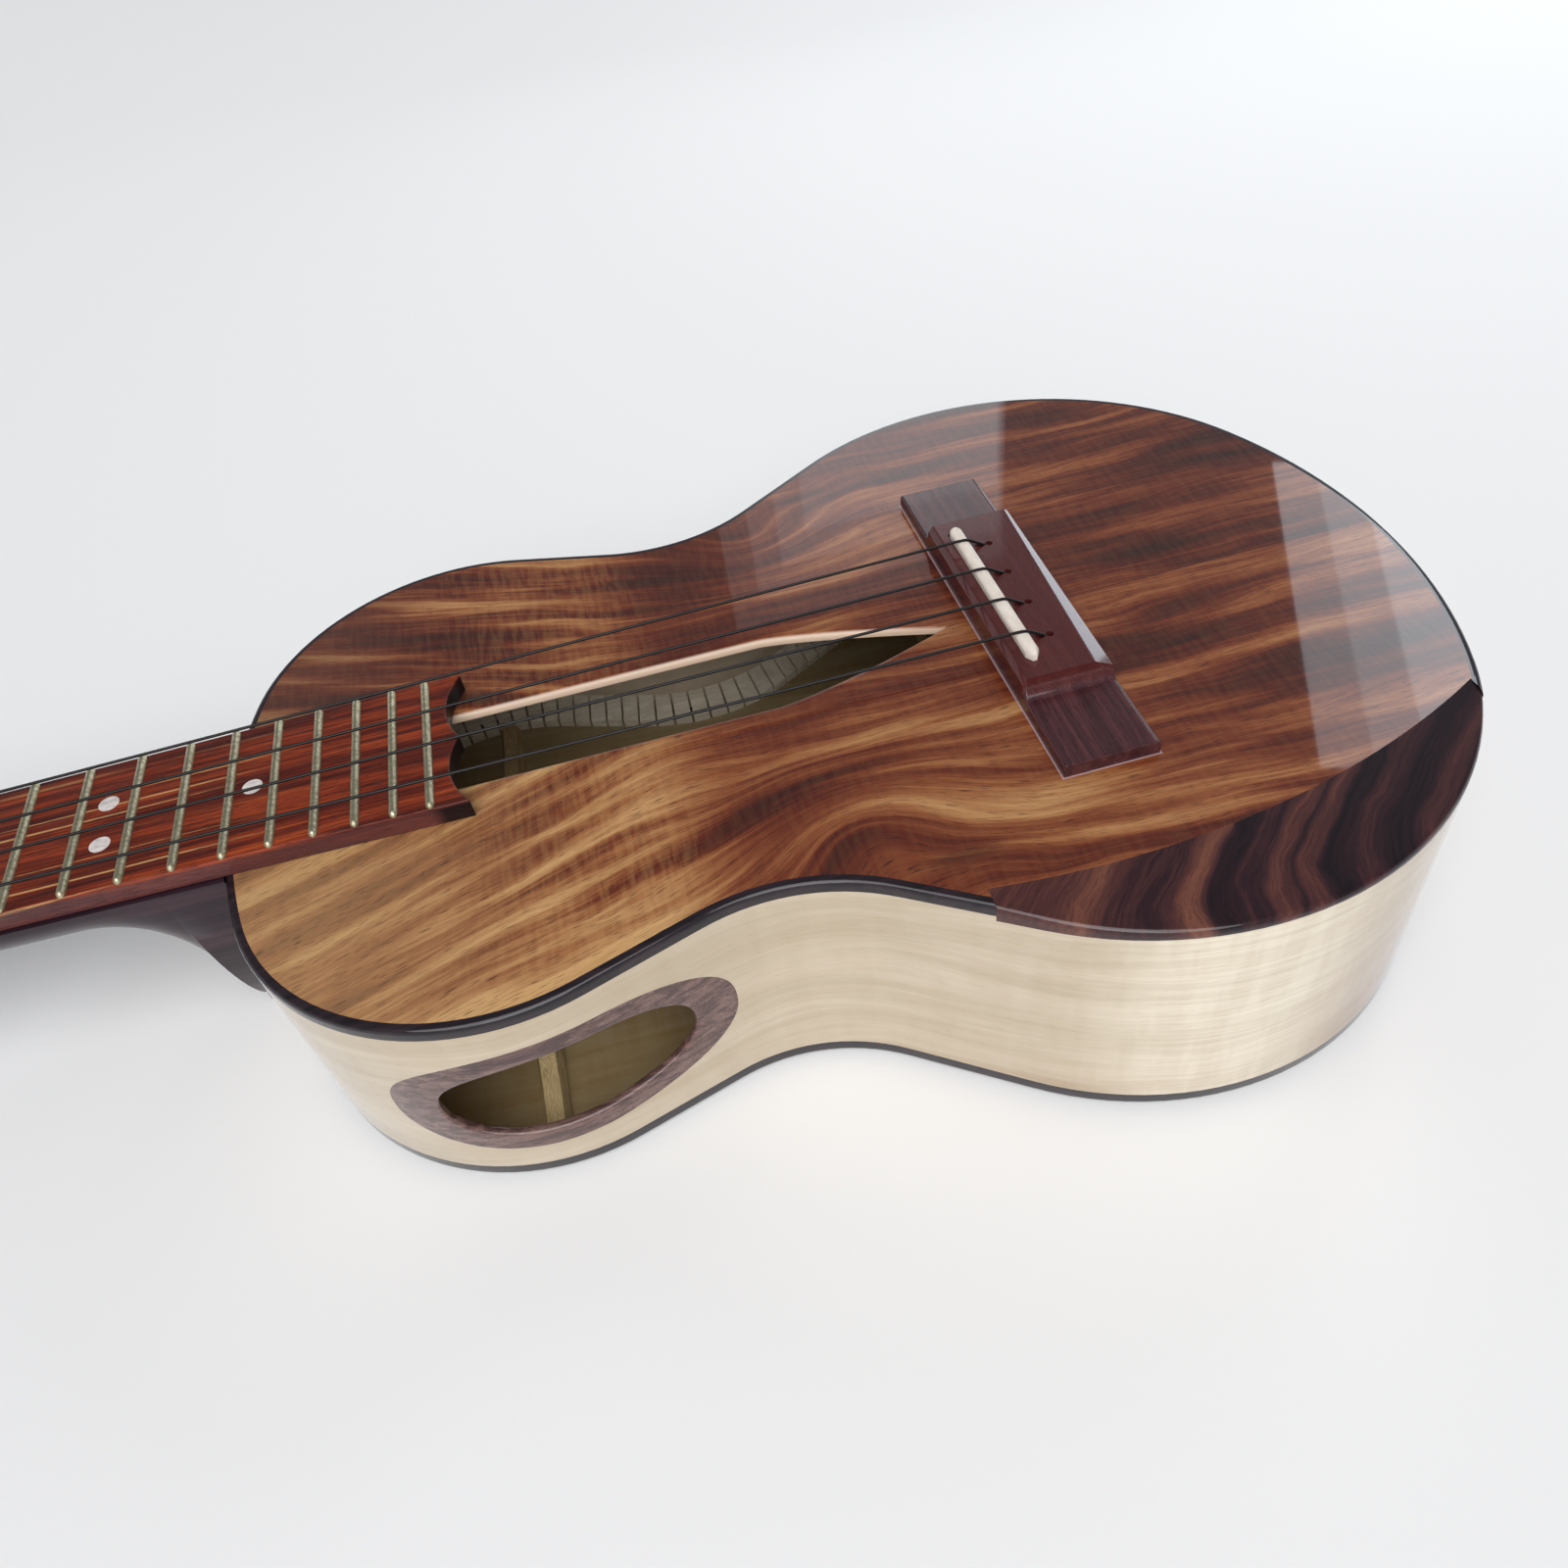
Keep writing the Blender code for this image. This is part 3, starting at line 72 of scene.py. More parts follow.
def arc(centre, radius, start, end, steps):
    angles = [start + (end - start) * i / steps for i in range(steps + 1)]
    return [(centre.x + radius * math.cos(a), centre.y + radius * math.sin(a)) for a in angles]


def half_outline(inset=0.0, fineness=3):
    """Treble half of the body's outline, from the neck joint to the tail, as five tangent arcs."""
    (ux, uh, ur), (wx, wh, wr), (lx, lh, lr) = BOUTS
    upper, waist, lower = Vector((ux, uh - ur)), Vector((wx, wh + wr)), Vector((lx, lh - lr))
    rest = BODY_LENGTH - lx
    shoulder_radius = (upper.length_squared - ur**2) / (2 * (ux - ur))
    tail_radius = (rest**2 + lower.y**2 - lr**2) / (2 * (rest - lr))
    shoulder, tail = Vector((shoulder_radius, 0.0)), Vector((BODY_LENGTH - tail_radius, 0.0))

    def leaving(bout, radius):
        gap = waist - bout
        spread = math.acos((radius + wr) / gap.length)
        heading = math.atan2(gap.y, gap.x)
        return max((heading + spread, heading - spread), key=math.sin)

    leave_shoulder = math.atan2(upper.y, ux - shoulder.x)
    leave_upper, reach_lower = leaving(upper, ur), leaving(lower, lr)
    leave_lower = math.atan2(lower.y, lx - tail.x)
    points = arc(shoulder, shoulder_radius - inset, math.pi, leave_shoulder, 4 * fineness)
    points += arc(upper, ur - inset, leave_shoulder, leave_upper, 9 * fineness)[1:]
    points += arc(waist, wr + inset, leave_upper + math.pi, reach_lower + math.pi, 5 * fineness)
    points += arc(lower, lr - inset, reach_lower, leave_lower, 11 * fineness)
    return points + arc(tail, tail_radius - inset, leave_lower, 0.0, 4 * fineness)[1:]


def full_outline(inset=0.0, fineness=3):
    treble = half_outline(inset, fineness)
    return treble + [(x, -y) for x, y in reversed(treble[1:-1])]


def half_width(x, inset=0.0):
    points = half_outline(inset)
    for (x0, y0), (x1, y1) in zip(points, points[1:]):
        if x0 <= x <= x1:
            return y0 + (y1 - y0) * (x - x0) / max(x1 - x0, 1e-9)
    return 0.0


def rows_of(rows, ring=False, capped=True):
    """Skins equal rows of points. A ring closes on itself, and any other strip is capped."""
    shape = bmesh.new()
    made = [[shape.verts.new(point) for point in row] for row in rows]
    count = len(rows[0])
    for here, there in zip(made, made[1:] + (made[:1] if ring else [])):
        for i in range(count):
            j = (i + 1) % count
            shape.faces.new((here[i], here[j], there[j], there[i]))
    if capped and not ring:
        shape.faces.new(made[0][::-1])
        shape.faces.new(made[-1])
    return shape


def piece(name, shape, finish, stands_for=(), body="instrument", crease=35.0):
    """One shown piece from a bmesh in instrument millimetres, riding on its CAD body."""
    bmesh.ops.transform(shape, matrix=to_world, verts=shape.verts)
    bmesh.ops.recalc_face_normals(shape, faces=shape.faces)
    mesh = bpy.data.meshes.new(name)
    shape.to_mesh(mesh)
    shape.free()
    mesh.shade_smooth()
    mesh.set_sharp_from_angle(angle=math.radians(crease))
    mesh.materials.append(finish)
    made = bpy.data.objects.new(name, mesh)
    bpy.context.collection.objects.link(made)
    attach(made, body)
    if stands_for:
        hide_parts(*stands_for)
    return made


def tint(red, green, blue):
    """A colour as a paint chart gives it, turned to the light values that the shader takes."""
    linear = [((c / 255 + 0.055) / 1.055) ** 2.4 if c > 10 else c / 3294.6 for c in (red, green, blue)]
    return (*linear, 1.0)


def node(tree, kind, inputs=(), **settings):
    """Adds a shader node. Each numbered or named input is linked to a socket or set to a value."""
    made = tree.nodes.new("ShaderNode" + kind)
    for key, value in settings.items():
        setattr(made, key, value)
    for key, value in dict(inputs).items():
        if isinstance(value, bpy.types.NodeSocket):
            tree.links.new(value, made.inputs[key])
        else:
            made.inputs[key].default_value = value
    return made


def calc(tree, operation, a, b=0.0):
    return node(tree, "Math", {0: a, 1: b}, operation=operation).outputs[0]


def times(tree, a, b):
    return calc(tree, "MULTIPLY", a, b)


def plus(tree, a, b):
    return calc(tree, "ADD", a, b)


def minus(tree, a, b):
    return calc(tree, "SUBTRACT", a, b)


def rise(tree, value, low, high):
    """0 below low, 1 above high, smooth between. With low above high it falls instead."""
    ends = {"Value": value, "From Min": low, "From Max": high}
    if low > high:
        ends = {"Value": value, "From Min": high, "From Max": low, "To Min": 1.0, "To Max": 0.0}
    return node(tree, "MapRange", ends, interpolation_type="SMOOTHSTEP").outputs[0]


def blend(tree, factor, a, b, how="MIX"):
    return node(tree, "Mix", {0: factor, 6: a, 7: b}, data_type="RGBA", blend_type=how).outputs[2]


def ramp(tree, value, stops, spline=False):
    """Colours, or plain levels, laid along a value. stops holds pairs of place and colour or level."""
    made = node(tree, "ValToRGB", {0: value})
    made.color_ramp.interpolation = "B_SPLINE" if spline else "LINEAR"
    elements = made.color_ramp.elements
    for _ in stops[2:]:
        elements.new(0.5)
    for element, (place, colour) in zip(elements, stops):
        element.position = place
        element.color = colour if isinstance(colour, tuple) else (colour, colour, colour, 1.0)
    return made.outputs[0]


def clouds(tree, vector, detail=3.0, roughness=0.5):
    settings = {"Vector": vector, "Scale": 1.0, "Detail": detail, "Roughness": roughness}
    return node(tree, "TexNoise", settings).outputs[0]


def scaled(tree, x, y, z, kx, ky, kz):
    """One vector from three coordinates, each times its own factor."""
    parts = [times(tree, axis, factor) for axis, factor in ((x, kx), (y, ky), (z, kz))]
    return node(tree, "CombineXYZ", dict(enumerate(parts))).outputs[0]


def new_group(name, inputs, outputs):
    tree = bpy.data.node_groups.new(name, "ShaderNodeTree")
    for label, default in inputs:
        kind = "NodeSocketVector" if default is None else "NodeSocketFloat"
        socket = tree.interface.new_socket(label, in_out="INPUT", socket_type=kind)
        if default is not None:
            socket.default_value = default
    for label, kind in outputs:
        tree.interface.new_socket(label, in_out="OUTPUT", socket_type="NodeSocket" + kind)
    return tree, tree.nodes.new("NodeGroupInput").outputs, tree.nodes.new("NodeGroupOutput").inputs


def make_grain():
    """Grain of a planed board: X along it, in millimetres. Streaks are broad, lines fine, ripple across."""
    sizes = [("Lie", None), ("Streak Width", 6.0), ("Streak Length", 90.0)]
    sizes += [("Ripple Width", 2.2), ("Ripple Length", 14.0), ("Wander", 4.0)]
    outs = [(name, "Float") for name in ("Streaks", "Lines", "Ripple", "Pores")]
    tree, given, out = new_group("wood grain", sizes, outs)
    lie = node(tree, "SeparateXYZ", {0: given["Lie"]}).outputs
    x, y, z = lie[0], lie[1], lie[2]
    drift = clouds(tree, scaled(tree, x, y, z, 0.011, 0.028, 0.028), 2.0)
    y = plus(tree, y, times(tree, minus(tree, drift, 0.5), given["Wander"]))
    along = calc(tree, "DIVIDE", x, given["Streak Length"])
    across = calc(tree, "DIVIDE", y, given["Streak Width"])
    deep = calc(tree, "DIVIDE", z, given["Streak Width"])
    broad = clouds(tree, scaled(tree, along, across, deep, 1.0, 1.0, 1.0), 3.0, 0.6)
    fine = clouds(tree, scaled(tree, along, across, deep, 1.6, 7.5, 7.5), 3.0, 0.65)
    tree.links.new(rise(tree, broad, 0.34, 0.66), out["Streaks"])
    tree.links.new(rise(tree, fine, 0.36, 0.66), out["Lines"])
    curl_x = calc(tree, "DIVIDE", x, given["Ripple Width"])
    curl_y = calc(tree, "DIVIDE", y, given["Ripple Length"])
    curl_z = calc(tree, "DIVIDE", z, given["Ripple Length"])
    curl = clouds(tree, scaled(tree, curl_x, curl_y, curl_z, 1.0, 1.0, 1.0), 2.0, 0.55)
    tree.links.new(rise(tree, curl, 0.36, 0.64), out["Ripple"])
    pore = clouds(tree, scaled(tree, x, y, z, 0.22, 4.2, 4.2), 1.0)
    tree.links.new(rise(tree, pore, 0.58, 0.68), out["Pores"])
    return tree


grain = make_grain()


def wood(name, paint, coat=0.0, gloss=0.35, relief=0.0):
    """A wood finish. paint(tree, x, y, z) gives its colour and the height of its figure."""
    made = bpy.data.materials.new(name)
    made.use_nodes = True
    tree = made.node_tree
    shader = tree.nodes["Principled BSDF"]
    place = node(tree, "TexCoord").outputs["Object"]
    turned = {"Vector": place, "Scale": (1000.0, 1000.0, 1000.0), "Rotation": (0.0, math.atan(TAPER), 0.0)}
    turned["Location"] = (BODY_LENGTH / 2, 0.0, back_at(BODY_LENGTH / 2))
    lie = node(tree, "SeparateXYZ", {0: node(tree, "Mapping", turned).outputs[0]}).outputs
    x, y, z = lie[0], lie[1], lie[2]
    colour, height = paint(tree, x, y, z)
    tree.links.new(colour, shader.inputs["Base Color"])
    if relief:
        bump = node(tree, "Bump", {"Height": height, "Strength": 1.0, "Distance": relief * 0.001})
        tree.links.new(bump.outputs[0], shader.inputs["Normal"])
    shader.inputs["Roughness"].default_value = gloss
    shader.inputs["Specular IOR Level"].default_value = 0.15
    shader.inputs["Coat Weight"].default_value = coat
    shader.inputs["Coat Roughness"].default_value = 0.05
    shader.inputs["Coat IOR"].default_value = 1.38
    return made


def grained(tree, x, y, z, width, length, ripple=(3.0, 14.0), wander=2.0):
    """The grain group laid along the given coordinates, as its four outputs."""
    lie = node(tree, "CombineXYZ", {0: x, 1: y, 2: z}).outputs[0]
    made = tree.nodes.new("ShaderNodeGroup")
    made.node_tree = grain
    tree.links.new(lie, made.inputs["Lie"])
    sizes = {"Streak Width": width, "Streak Length": length, "Wander": wander}
    sizes["Ripple Width"], sizes["Ripple Length"] = ripple
    for label, value in sizes.items():
        made.inputs[label].default_value = value
    return made.outputs


def along_rib(tree, x, y):
    """Length along the bent rib: X on the flanks, running on round the neck end and the tail."""
    side = calc(tree, "ABSOLUTE", y)
    neck_end = times(tree, rise(tree, x, 45.0, 10.0), minus(tree, 75.0, side))
    tail_end = times(tree, rise(tree, x, 235.0, 280.0), minus(tree, 107.0, side))
    return plus(tree, x, minus(tree, tail_end, neck_end))


def side_paint(tree, x, y, z):
    """Cream sapwood with faint long lines, a soft upright curl, tan streaks low down to the tail, and a
    painted sheen towards the tail.
    """
    across = times(tree, y, 0.1)
    look = grained(tree, along_rib(tree, x, y), z, across, 9.0, 150.0, (5.0, 26.0), 14.0)
    stops = [(0.0, tint(186, 171, 148)), (0.5, tint(194, 180, 158)), (1.0, tint(202, 188, 167))]
    colour = ramp(tree, look["Streaks"], stops)
    level = plus(tree, z, times(tree, look["Streaks"], 9.0))
    low = times(tree, rise(tree, level, -42.0, -66.0), rise(tree, x, 60.0, 260.0))
    streak = times(tree, low, plus(tree, 0.25, times(tree, look["Lines"], 0.5)))
    colour = blend(tree, streak, colour, tint(156, 120, 86))
    curl_zone = plus(tree, 0.1, times(tree, rise(tree, x, 150.0, 210.0), 0.08))
    shade = times(tree, minus(tree, 1.0, look["Ripple"]), curl_zone)
    colour = blend(tree, shade, colour, tint(160, 138, 108))
    lines = times(tree, minus(tree, 1.0, look["Lines"]), 0.13)
    colour = blend(tree, lines, colour, tint(170, 136, 96))
    # A pale patch towards the tail, broken up by the figure: painted sheen, the glare of light on the curved
    # lacquered side.
    satin = times(tree, rise(tree, x, 176.0, 205.0), rise(tree, x, 256.0, 226.0))
    fleck = plus(tree, times(tree, look["Ripple"], 0.14), times(tree, look["Lines"], 0.26))
    satin = times(tree, satin, plus(tree, 0.38, fleck))
    colour = blend(tree, satin, colour, tint(232, 222, 202))
    tail = times(tree, rise(tree, x, 222.0, 282.0), plus(tree, 0.3, rise(tree, z, -8.0, -60.0)))
    colour = blend(tree, times(tree, tail, 0.62), colour, tint(140, 112, 94))
    specks = times(tree, look["Pores"], 0.12)
    return blend(tree, specks, colour, tint(140, 104, 70)), look["Ripple"]


side_wood = wood("curly pale side", side_paint, coat=1.0, gloss=0.4)
ARMREST_RADIUS = 210.0
ARMREST_X = 194.0
ARMREST_THICKNESS = 4.8
PORT_X = 69.7
PORT_Z = -31.6
PORT_HALF_LENGTH = 29.3
PORT_HALF_HEIGHT = 14.2
RIM_END_WIDTH = 10.6
RIM_SIDE_WIDTH = 5.8


def prism(outline, low, high):
    """Upright solid between two heights, each a number or a function of X."""
    bottom = low if callable(low) else lambda x: low
    top = high if callable(high) else lambda x: high
    return rows_of([[(x, y, bottom(x)) for x, y in outline], [(x, y, top(x)) for x, y in outline]])


def carved(shape, cutter, operation="DIFFERENCE"):
    """The shape after one exact cut, join or overlap with the cutter. Both are used up."""
    blanks = []
    for part in (shape, cutter):
        bmesh.ops.recalc_face_normals(part, faces=part.faces)
        mesh = bpy.data.meshes.new("blank")
        part.to_mesh(mesh)
        part.free()
        blanks.append(bpy.data.objects.new("blank", mesh))
        bpy.context.collection.objects.link(blanks[-1])
    modifier = blanks[0].modifiers.new("cut", "BOOLEAN")
    modifier.operation, modifier.solver, modifier.object = operation, "EXACT", blanks[1]
    result = bmesh.new()
    result.from_object(blanks[0], bpy.context.evaluated_depsgraph_get())
    for blank in blanks:
        bpy.data.objects.remove(blank, do_unlink=True)
    return result


def armrest_y(x):
    """The armrest's inner edge on the soundboard."""
    return ARMREST_RADIUS - 85.5 - math.sqrt(ARMREST_RADIUS**2 - (x - ARMREST_X) ** 2)


def armrest_places(count):
    """Places along the armrest, closer near its two square-cut ends, where it is 5 mm wide."""
    wide = [x for x in (150.0 + 0.1 * i for i in range(1570)) if half_width(x) + armrest_y(x) > 5.0]
    share = [0.5 - 0.5 * math.cos(math.pi * i / count) for i in range(count + 1)]
    return [wide[0] + (wide[-1] - wide[0]) * s for s in share]


def armrest_pocket(depth=ARMREST_THICKNESS):
    steps = armrest_places(90)
    outline = [(x, armrest_y(x)) for x in steps] + [(steps[-1], -130.0), (steps[0], -130.0)]
    return prism(outline, -depth, 10.0)


def port_outline(end_margin=0.0, side_margin=0.0, steps=96):
    """The port's rounded outline in X and Z, grown past the opening at its ends and sides."""
    points, tilt = [], math.radians(-0.5)
    for i in range(steps):
        c, s = math.cos(math.tau * i / steps), math.sin(math.tau * i / steps)
        u = (PORT_HALF_LENGTH + end_margin) * math.copysign(abs(c) ** (2 / 2.35), c)
        v = (PORT_HALF_HEIGHT + side_margin) * math.copysign(abs(s) ** (2 / 2.35), s)
        x, z = u * math.cos(tilt) + v * math.sin(tilt), v * math.cos(tilt) - u * math.sin(tilt)
        points.append((PORT_X + x, PORT_Z + z))
    return points


def rib(side):
    outer, inner = half_outline(), half_outline(RIB_THICKNESS)
    rows = []
    for a, b in zip(outer, inner):
        high, low = -TOP_BINDING_HEIGHT, [back_at(x) + BACK_BINDING_HEIGHT for x in (a[0], b[0])]
        row = [(*a, high), (*a, low[0]), (*b, low[1]), (*b, high)]
        rows.append([(x, side * max(y, 0.05), z) for x, y, z in row])
    return rows_of(rows)


piece("side_treble_rib", rib(1), side_wood, ["side_treble"])
rim_edge = port_outline(RIM_END_WIDTH, RIM_SIDE_WIDTH)
rim_hole = rows_of([[(x, y, z) for x, z in rim_edge] for y in (-95.0, -50.0)])
bass_rib = carved(carved(rib(-1), rim_hole), armrest_pocket())
piece("side_bass_rib", bass_rib, side_wood, ["side_bass"])

# The side port's rim. A bent ring of straight-grained rosewood is let into the bass rib, flush with it,
# its inner edge rounded over and polished like the sides, so the player hears the sound come out.
RIM_ROUNDING = 1.0


def rim_paint(tree, x, y, z):
    """Brown rosewood with straight dark lines that follow the ring's length."""
    look = grained(tree, x, z, y, 1.5, 130.0, wander=2.5)
    stops = [(0.0, tint(56, 38, 38)), (0.35, tint(84, 60, 57)), (0.7, tint(116, 88, 82))]
    stops.append((1.0, tint(136, 108, 100)))
    fine = times(tree, look["Lines"], 0.4)
    level = plus(tree, times(tree, look["Streaks"], 0.55), fine)
    dark = times(tree, look["Pores"], 0.5)
    return blend(tree, dark, ramp(tree, level, stops), tint(46, 28, 24)), look["Pores"]


def port_rim():
    """Ring lofted round the port: flat face, rounded lip, inner wall and back, laid on the rib's curve."""
    rows = []
    outer, inner = port_outline(RIM_END_WIDTH, RIM_SIDE_WIDTH, 160), port_outline(steps=160)
    for (ox, oz), (ix, iz) in zip(outer, inner):
        length = math.hypot(ix - ox, iz - oz)
        round_start = 1.0 - RIM_ROUNDING / length
        profile = [(0.0, 0.0)] + [(round_start * share, 0.0) for share in (0.25, 0.5, 0.75)]
        for i in range(7):
            angle = math.pi / 2 * i / 6
            share = 1.0 - (1.0 - math.sin(angle)) * RIM_ROUNDING / length
            profile.append((share, RIM_ROUNDING * (1 - math.cos(angle))))
        profile += [(1.0, RIB_THICKNESS - 0.3), (1.0 - 0.3 / length, RIB_THICKNESS)]
        profile += [(0.5, RIB_THICKNESS), (0.0, RIB_THICKNESS)]
        row = []
        for share, depth in profile:
            x, z = ox + (ix - ox) * share, oz + (iz - oz) * share
            row.append((x, -half_width(x, depth), z))
        rows.append(row)
    return rows_of(rows, ring=True)


rim_wood = wood("port rim rosewood", rim_paint, coat=1.0, gloss=0.35)
piece("port_rim_ring", port_rim(), rim_wood, ["port_rim"], crease=50.0)

# The linings. Strips of light softwood, three-cornered in section, are sawn nearly through every few
# millimetres so that they bend, and glued round inside the ribs to carry the top and the back.
LINING_WIDTH = 5.5
LINING_HEIGHT = 9.0
LINING_LIP = 2.5
KERF_SPACING = 5.4
KERF_WIDTH = 0.7
BACK_THICKNESS = 2.4
SOUNDBOARD_THICKNESS = 2.2


def inside_paint(tree, x, y, z):
    """Bare olive-tan wood, as it looks in the half light of the body."""
    look = grained(tree, x, y, z, 5.0, 90.0, wander=4.0)
    colour = ramp(tree, look["Streaks"], [(0.0, tint(214, 202, 180)), (1.0, tint(232, 222, 202))])
    return blend(tree, times(tree, look["Lines"], 0.2), colour, tint(178, 162, 138)), look["Lines"]


def inner_line():
    """Evenly spaced points just inside the rib, one for each kerf, open behind the neck block."""
    walk = [Vector(point) for point in half_outline(RIB_THICKNESS, 12)]
    points, wait = [], 0.0
    for a, b in zip(walk, walk[1:]):
        along, length = (b - a).normalized(), (b - a).length
        while length >= wait:
            a = a + along * wait
            length, wait = length - wait, KERF_SPACING
            points.append((a, along))
        wait -= length
    return [(point, along) for point, along in points if point.y > 32.0 or point.x > 150.0]


def lining(side, top):
    """One three-cornered block for each tooth that stands between two kerfs."""
    shape, line = bmesh.new(), inner_line()
    profile = [(0.0, 0.0), (0.0, LINING_HEIGHT), (LINING_WIDTH - 1.2, LINING_LIP + 1.2)]
    profile += [(LINING_WIDTH, LINING_LIP), (LINING_WIDTH, 0.0)]
    for (point, along), (after, onward) in zip(line, line[1:]):
        corners = []
        for spot, heading, shift in ((point, along, KERF_WIDTH / 2), (after, onward, -KERF_WIDTH / 2)):
            inward = Vector((heading.y, -heading.x))
            foot = spot + heading * shift
            for depth, reach in profile:
                place = foot + inward * depth
                level = back_at(place.x) + BACK_THICKNESS + reach
                if top:
                    level = -SOUNDBOARD_THICKNESS - reach
                corners.append((place.x, side * place.y, level))
        made = [shape.verts.new(corner) for corner in corners]
        for i in range(5):
            j = (i + 1) % 5
            shape.faces.new((made[i], made[j], made[5 + j], made[5 + i]))
        shape.faces.new(made[:5][::-1])
        shape.faces.new(made[5:])
    return shape


def joined(shapes):
    """One bmesh from several, each left a closed body of its own."""
    whole = bmesh.new()
    for shape in shapes:
        mesh = bpy.data.meshes.new("blank")
        shape.to_mesh(mesh)
        shape.free()
        whole.from_mesh(mesh)
        bpy.data.meshes.remove(mesh)
    return whole


inside_wood = wood("bare inside wood", inside_paint, gloss=0.75, relief=0.2)
top_lining = carved(joined([lining(1, True), lining(-1, True)]), armrest_pocket(6.2))
piece("kerfed_lining_top", top_lining, inside_wood, ["lining_top"], crease=20.0)
back_lining = joined([lining(1, False), lining(-1, False)])
piece("kerfed_lining_back", back_lining, inside_wood, ["lining_back"], crease=20.0)

# Blocks and braces. The neck and tail blocks and the light braces under the top and on the back keep
# the solids of the CAD model. Their arrises are eased with a small bevel, as glasspaper leaves them.


def block_paint(tree, x, y, z):
    """Plain brown end-block wood with fine pores."""
    look = grained(tree, x, y, z, 3.0, 60.0)
    colour = ramp(tree, look["Streaks"], [(0.0, tint(70, 46, 36)), (1.0, tint(98, 66, 48))])
    return blend(tree, times(tree, look["Pores"], 0.5), colour, tint(46, 28, 22)), look["Pores"]


def brace_paint(tree, x, y, z):
    """Pale spruce with the close even lines of quarter-sawn stock."""
    look = grained(tree, y, x, z, 1.6, 220.0, wander=1.0)
    colour = ramp(tree, look["Lines"], [(0.0, tint(168, 142, 98)), (1.0, tint(206, 184, 140))])
    return colour, look["Lines"]


block_wood = wood("end block wood", block_paint, gloss=0.6)
brace_wood = wood("brace spruce", brace_paint, gloss=0.6)


def dress(names, finish, bevel=0.35):
    """Gives CAD solids that stay in view a finish and eased edges."""
    for name in names:
        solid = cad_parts[name]
        solid.data.materials.clear()
        solid.data.materials.append(finish)
        eased = solid.modifiers.new("eased edges", "BEVEL")
        eased.width, eased.segments, eased.limit_method = bevel * 0.001, 2, "ANGLE"


dress(["neck_block", "tail_block"], block_wood)
dress(["back_brace_upper", "back_brace_lower", "upper_transverse_brace"], brace_wood)
dress(["top_brace_bass", "top_brace_treble"], brace_wood)
dress(["bridge_plate"], block_wood)

# The back. Two matched plates of the sides' pale wood are joined down the middle and glued flat to the
# linings. The outside is lacquered like the sides, and the inside is left bare.


def back_paint(tree, x, y, z):
    """The sides' cream and tan figure, book-matched about the centre joint."""
    mirrored = calc(tree, "ABSOLUTE", y)
    look = grained(tree, x, mirrored, z, 11.0, 150.0, (3.4, 20.0), 12.0)
    stops = [(0.0, tint(182, 142, 96)), (0.5, tint(208, 178, 134)), (1.0, tint(224, 202, 162))]
    colour = ramp(tree, look["Streaks"], stops)
    colour = blend(tree, times(tree, look["Lines"], 0.3), colour, tint(168, 126, 82))
    colour = blend(tree, times(tree, look["Ripple"], 0.16), colour, tint(236, 216, 178))
    seam = rise(tree, mirrored, 0.35, 0.1)
    colour = blend(tree, times(tree, seam, 0.6), colour, tint(120, 84, 54))
    level = plus(tree, z, times(tree, x, TAPER))
    bare = rise(tree, level, 1.9 - NECK_DEPTH, 2.2 - NECK_DEPTH)
    return blend(tree, bare, colour, blend(tree, 0.65, colour, tint(104, 92, 58))), look["Ripple"]


back_wood = wood("book-matched back", back_paint, coat=1.0, gloss=0.4)
back_plate = prism(full_outline(BINDING_WIDTH), back_at, lambda x: back_at(x) + BACK_THICKNESS)
piece("back_plate_wood", back_plate, back_wood, ["back_plate"])

# The soundboard. Two plates of golden-brown figured wood are book-matched on the centre joint, so the
# streaks, curl and swirls mirror each other. The slot is sawn out and the whole is filled and lacquered.
SLOT_CENTRE = 1.2
SLOT_HALF_WIDTH = 13.0
SLOT_START = 50.0
SLOT_POINT = 186.0
SLOT_POINT_LENGTH = 48.0
LIP_ROUNDING = 2.1


def slot_line(grow=0.0):
    """Slot outline as points, grown outward by a share of the lip's rounding that fades at the point."""
    straight = SLOT_POINT - SLOT_POINT_LENGTH - SLOT_START
    side = [(SLOT_START + straight * i / 12, SLOT_HALF_WIDTH) for i in range(12)]
    for i in range(49):
        share = i / 48
        side.append((SLOT_POINT - SLOT_POINT_LENGTH * (1 - share), SLOT_HALF_WIDTH * (1 - share**1.25)))
    for _ in range(6):
        middle = [(a[1] + 2 * b[1] + c[1]) / 4 for a, b, c in zip(side, side[1:], side[2:])]
        side = [side[0]] + [(point[0], y) for point, y in zip(side[1:-1], middle)] + [side[-1]]
    grown = []
    for i, (x, y) in enumerate(side):
        before, after = side[max(i - 1, 0)], side[min(i + 1, len(side) - 1)]
        along = Vector((after[0] - before[0], after[1] - before[1])).normalized()
        fade = min(1.0, max(0.0, (SLOT_POINT + 1.0 - x) / 26.0))
        reach = grow * (0.12 + 0.88 * fade)
        last = i == len(side) - 1
        grown.append((x + reach * (3.0 if last else -along.y), 0.0 if last else y + reach * along.x))
    loop = grown + [(x, -y) for x, y in reversed(grown[:-1])]
    return [(x, y + SLOT_CENTRE) for x, y in loop]


def slot_cutter():
    """Straight walls below, flaring in a quarter round at the top, which leaves the slot a rounded lip."""
    rows = [[(x, y, -12.0) for x, y in slot_line()]]
    for i in range(10):
        angle = math.pi / 2 * i / 9
        level = -LIP_ROUNDING * (1 - math.sin(angle))
        rows.append([(x, y, level) for x, y in slot_line(LIP_ROUNDING * (1 - math.cos(angle)))])
    rows.append([(x, y, 3.0) for x, y in slot_line(LIP_ROUNDING + 0.2)])
    return rows_of(rows)


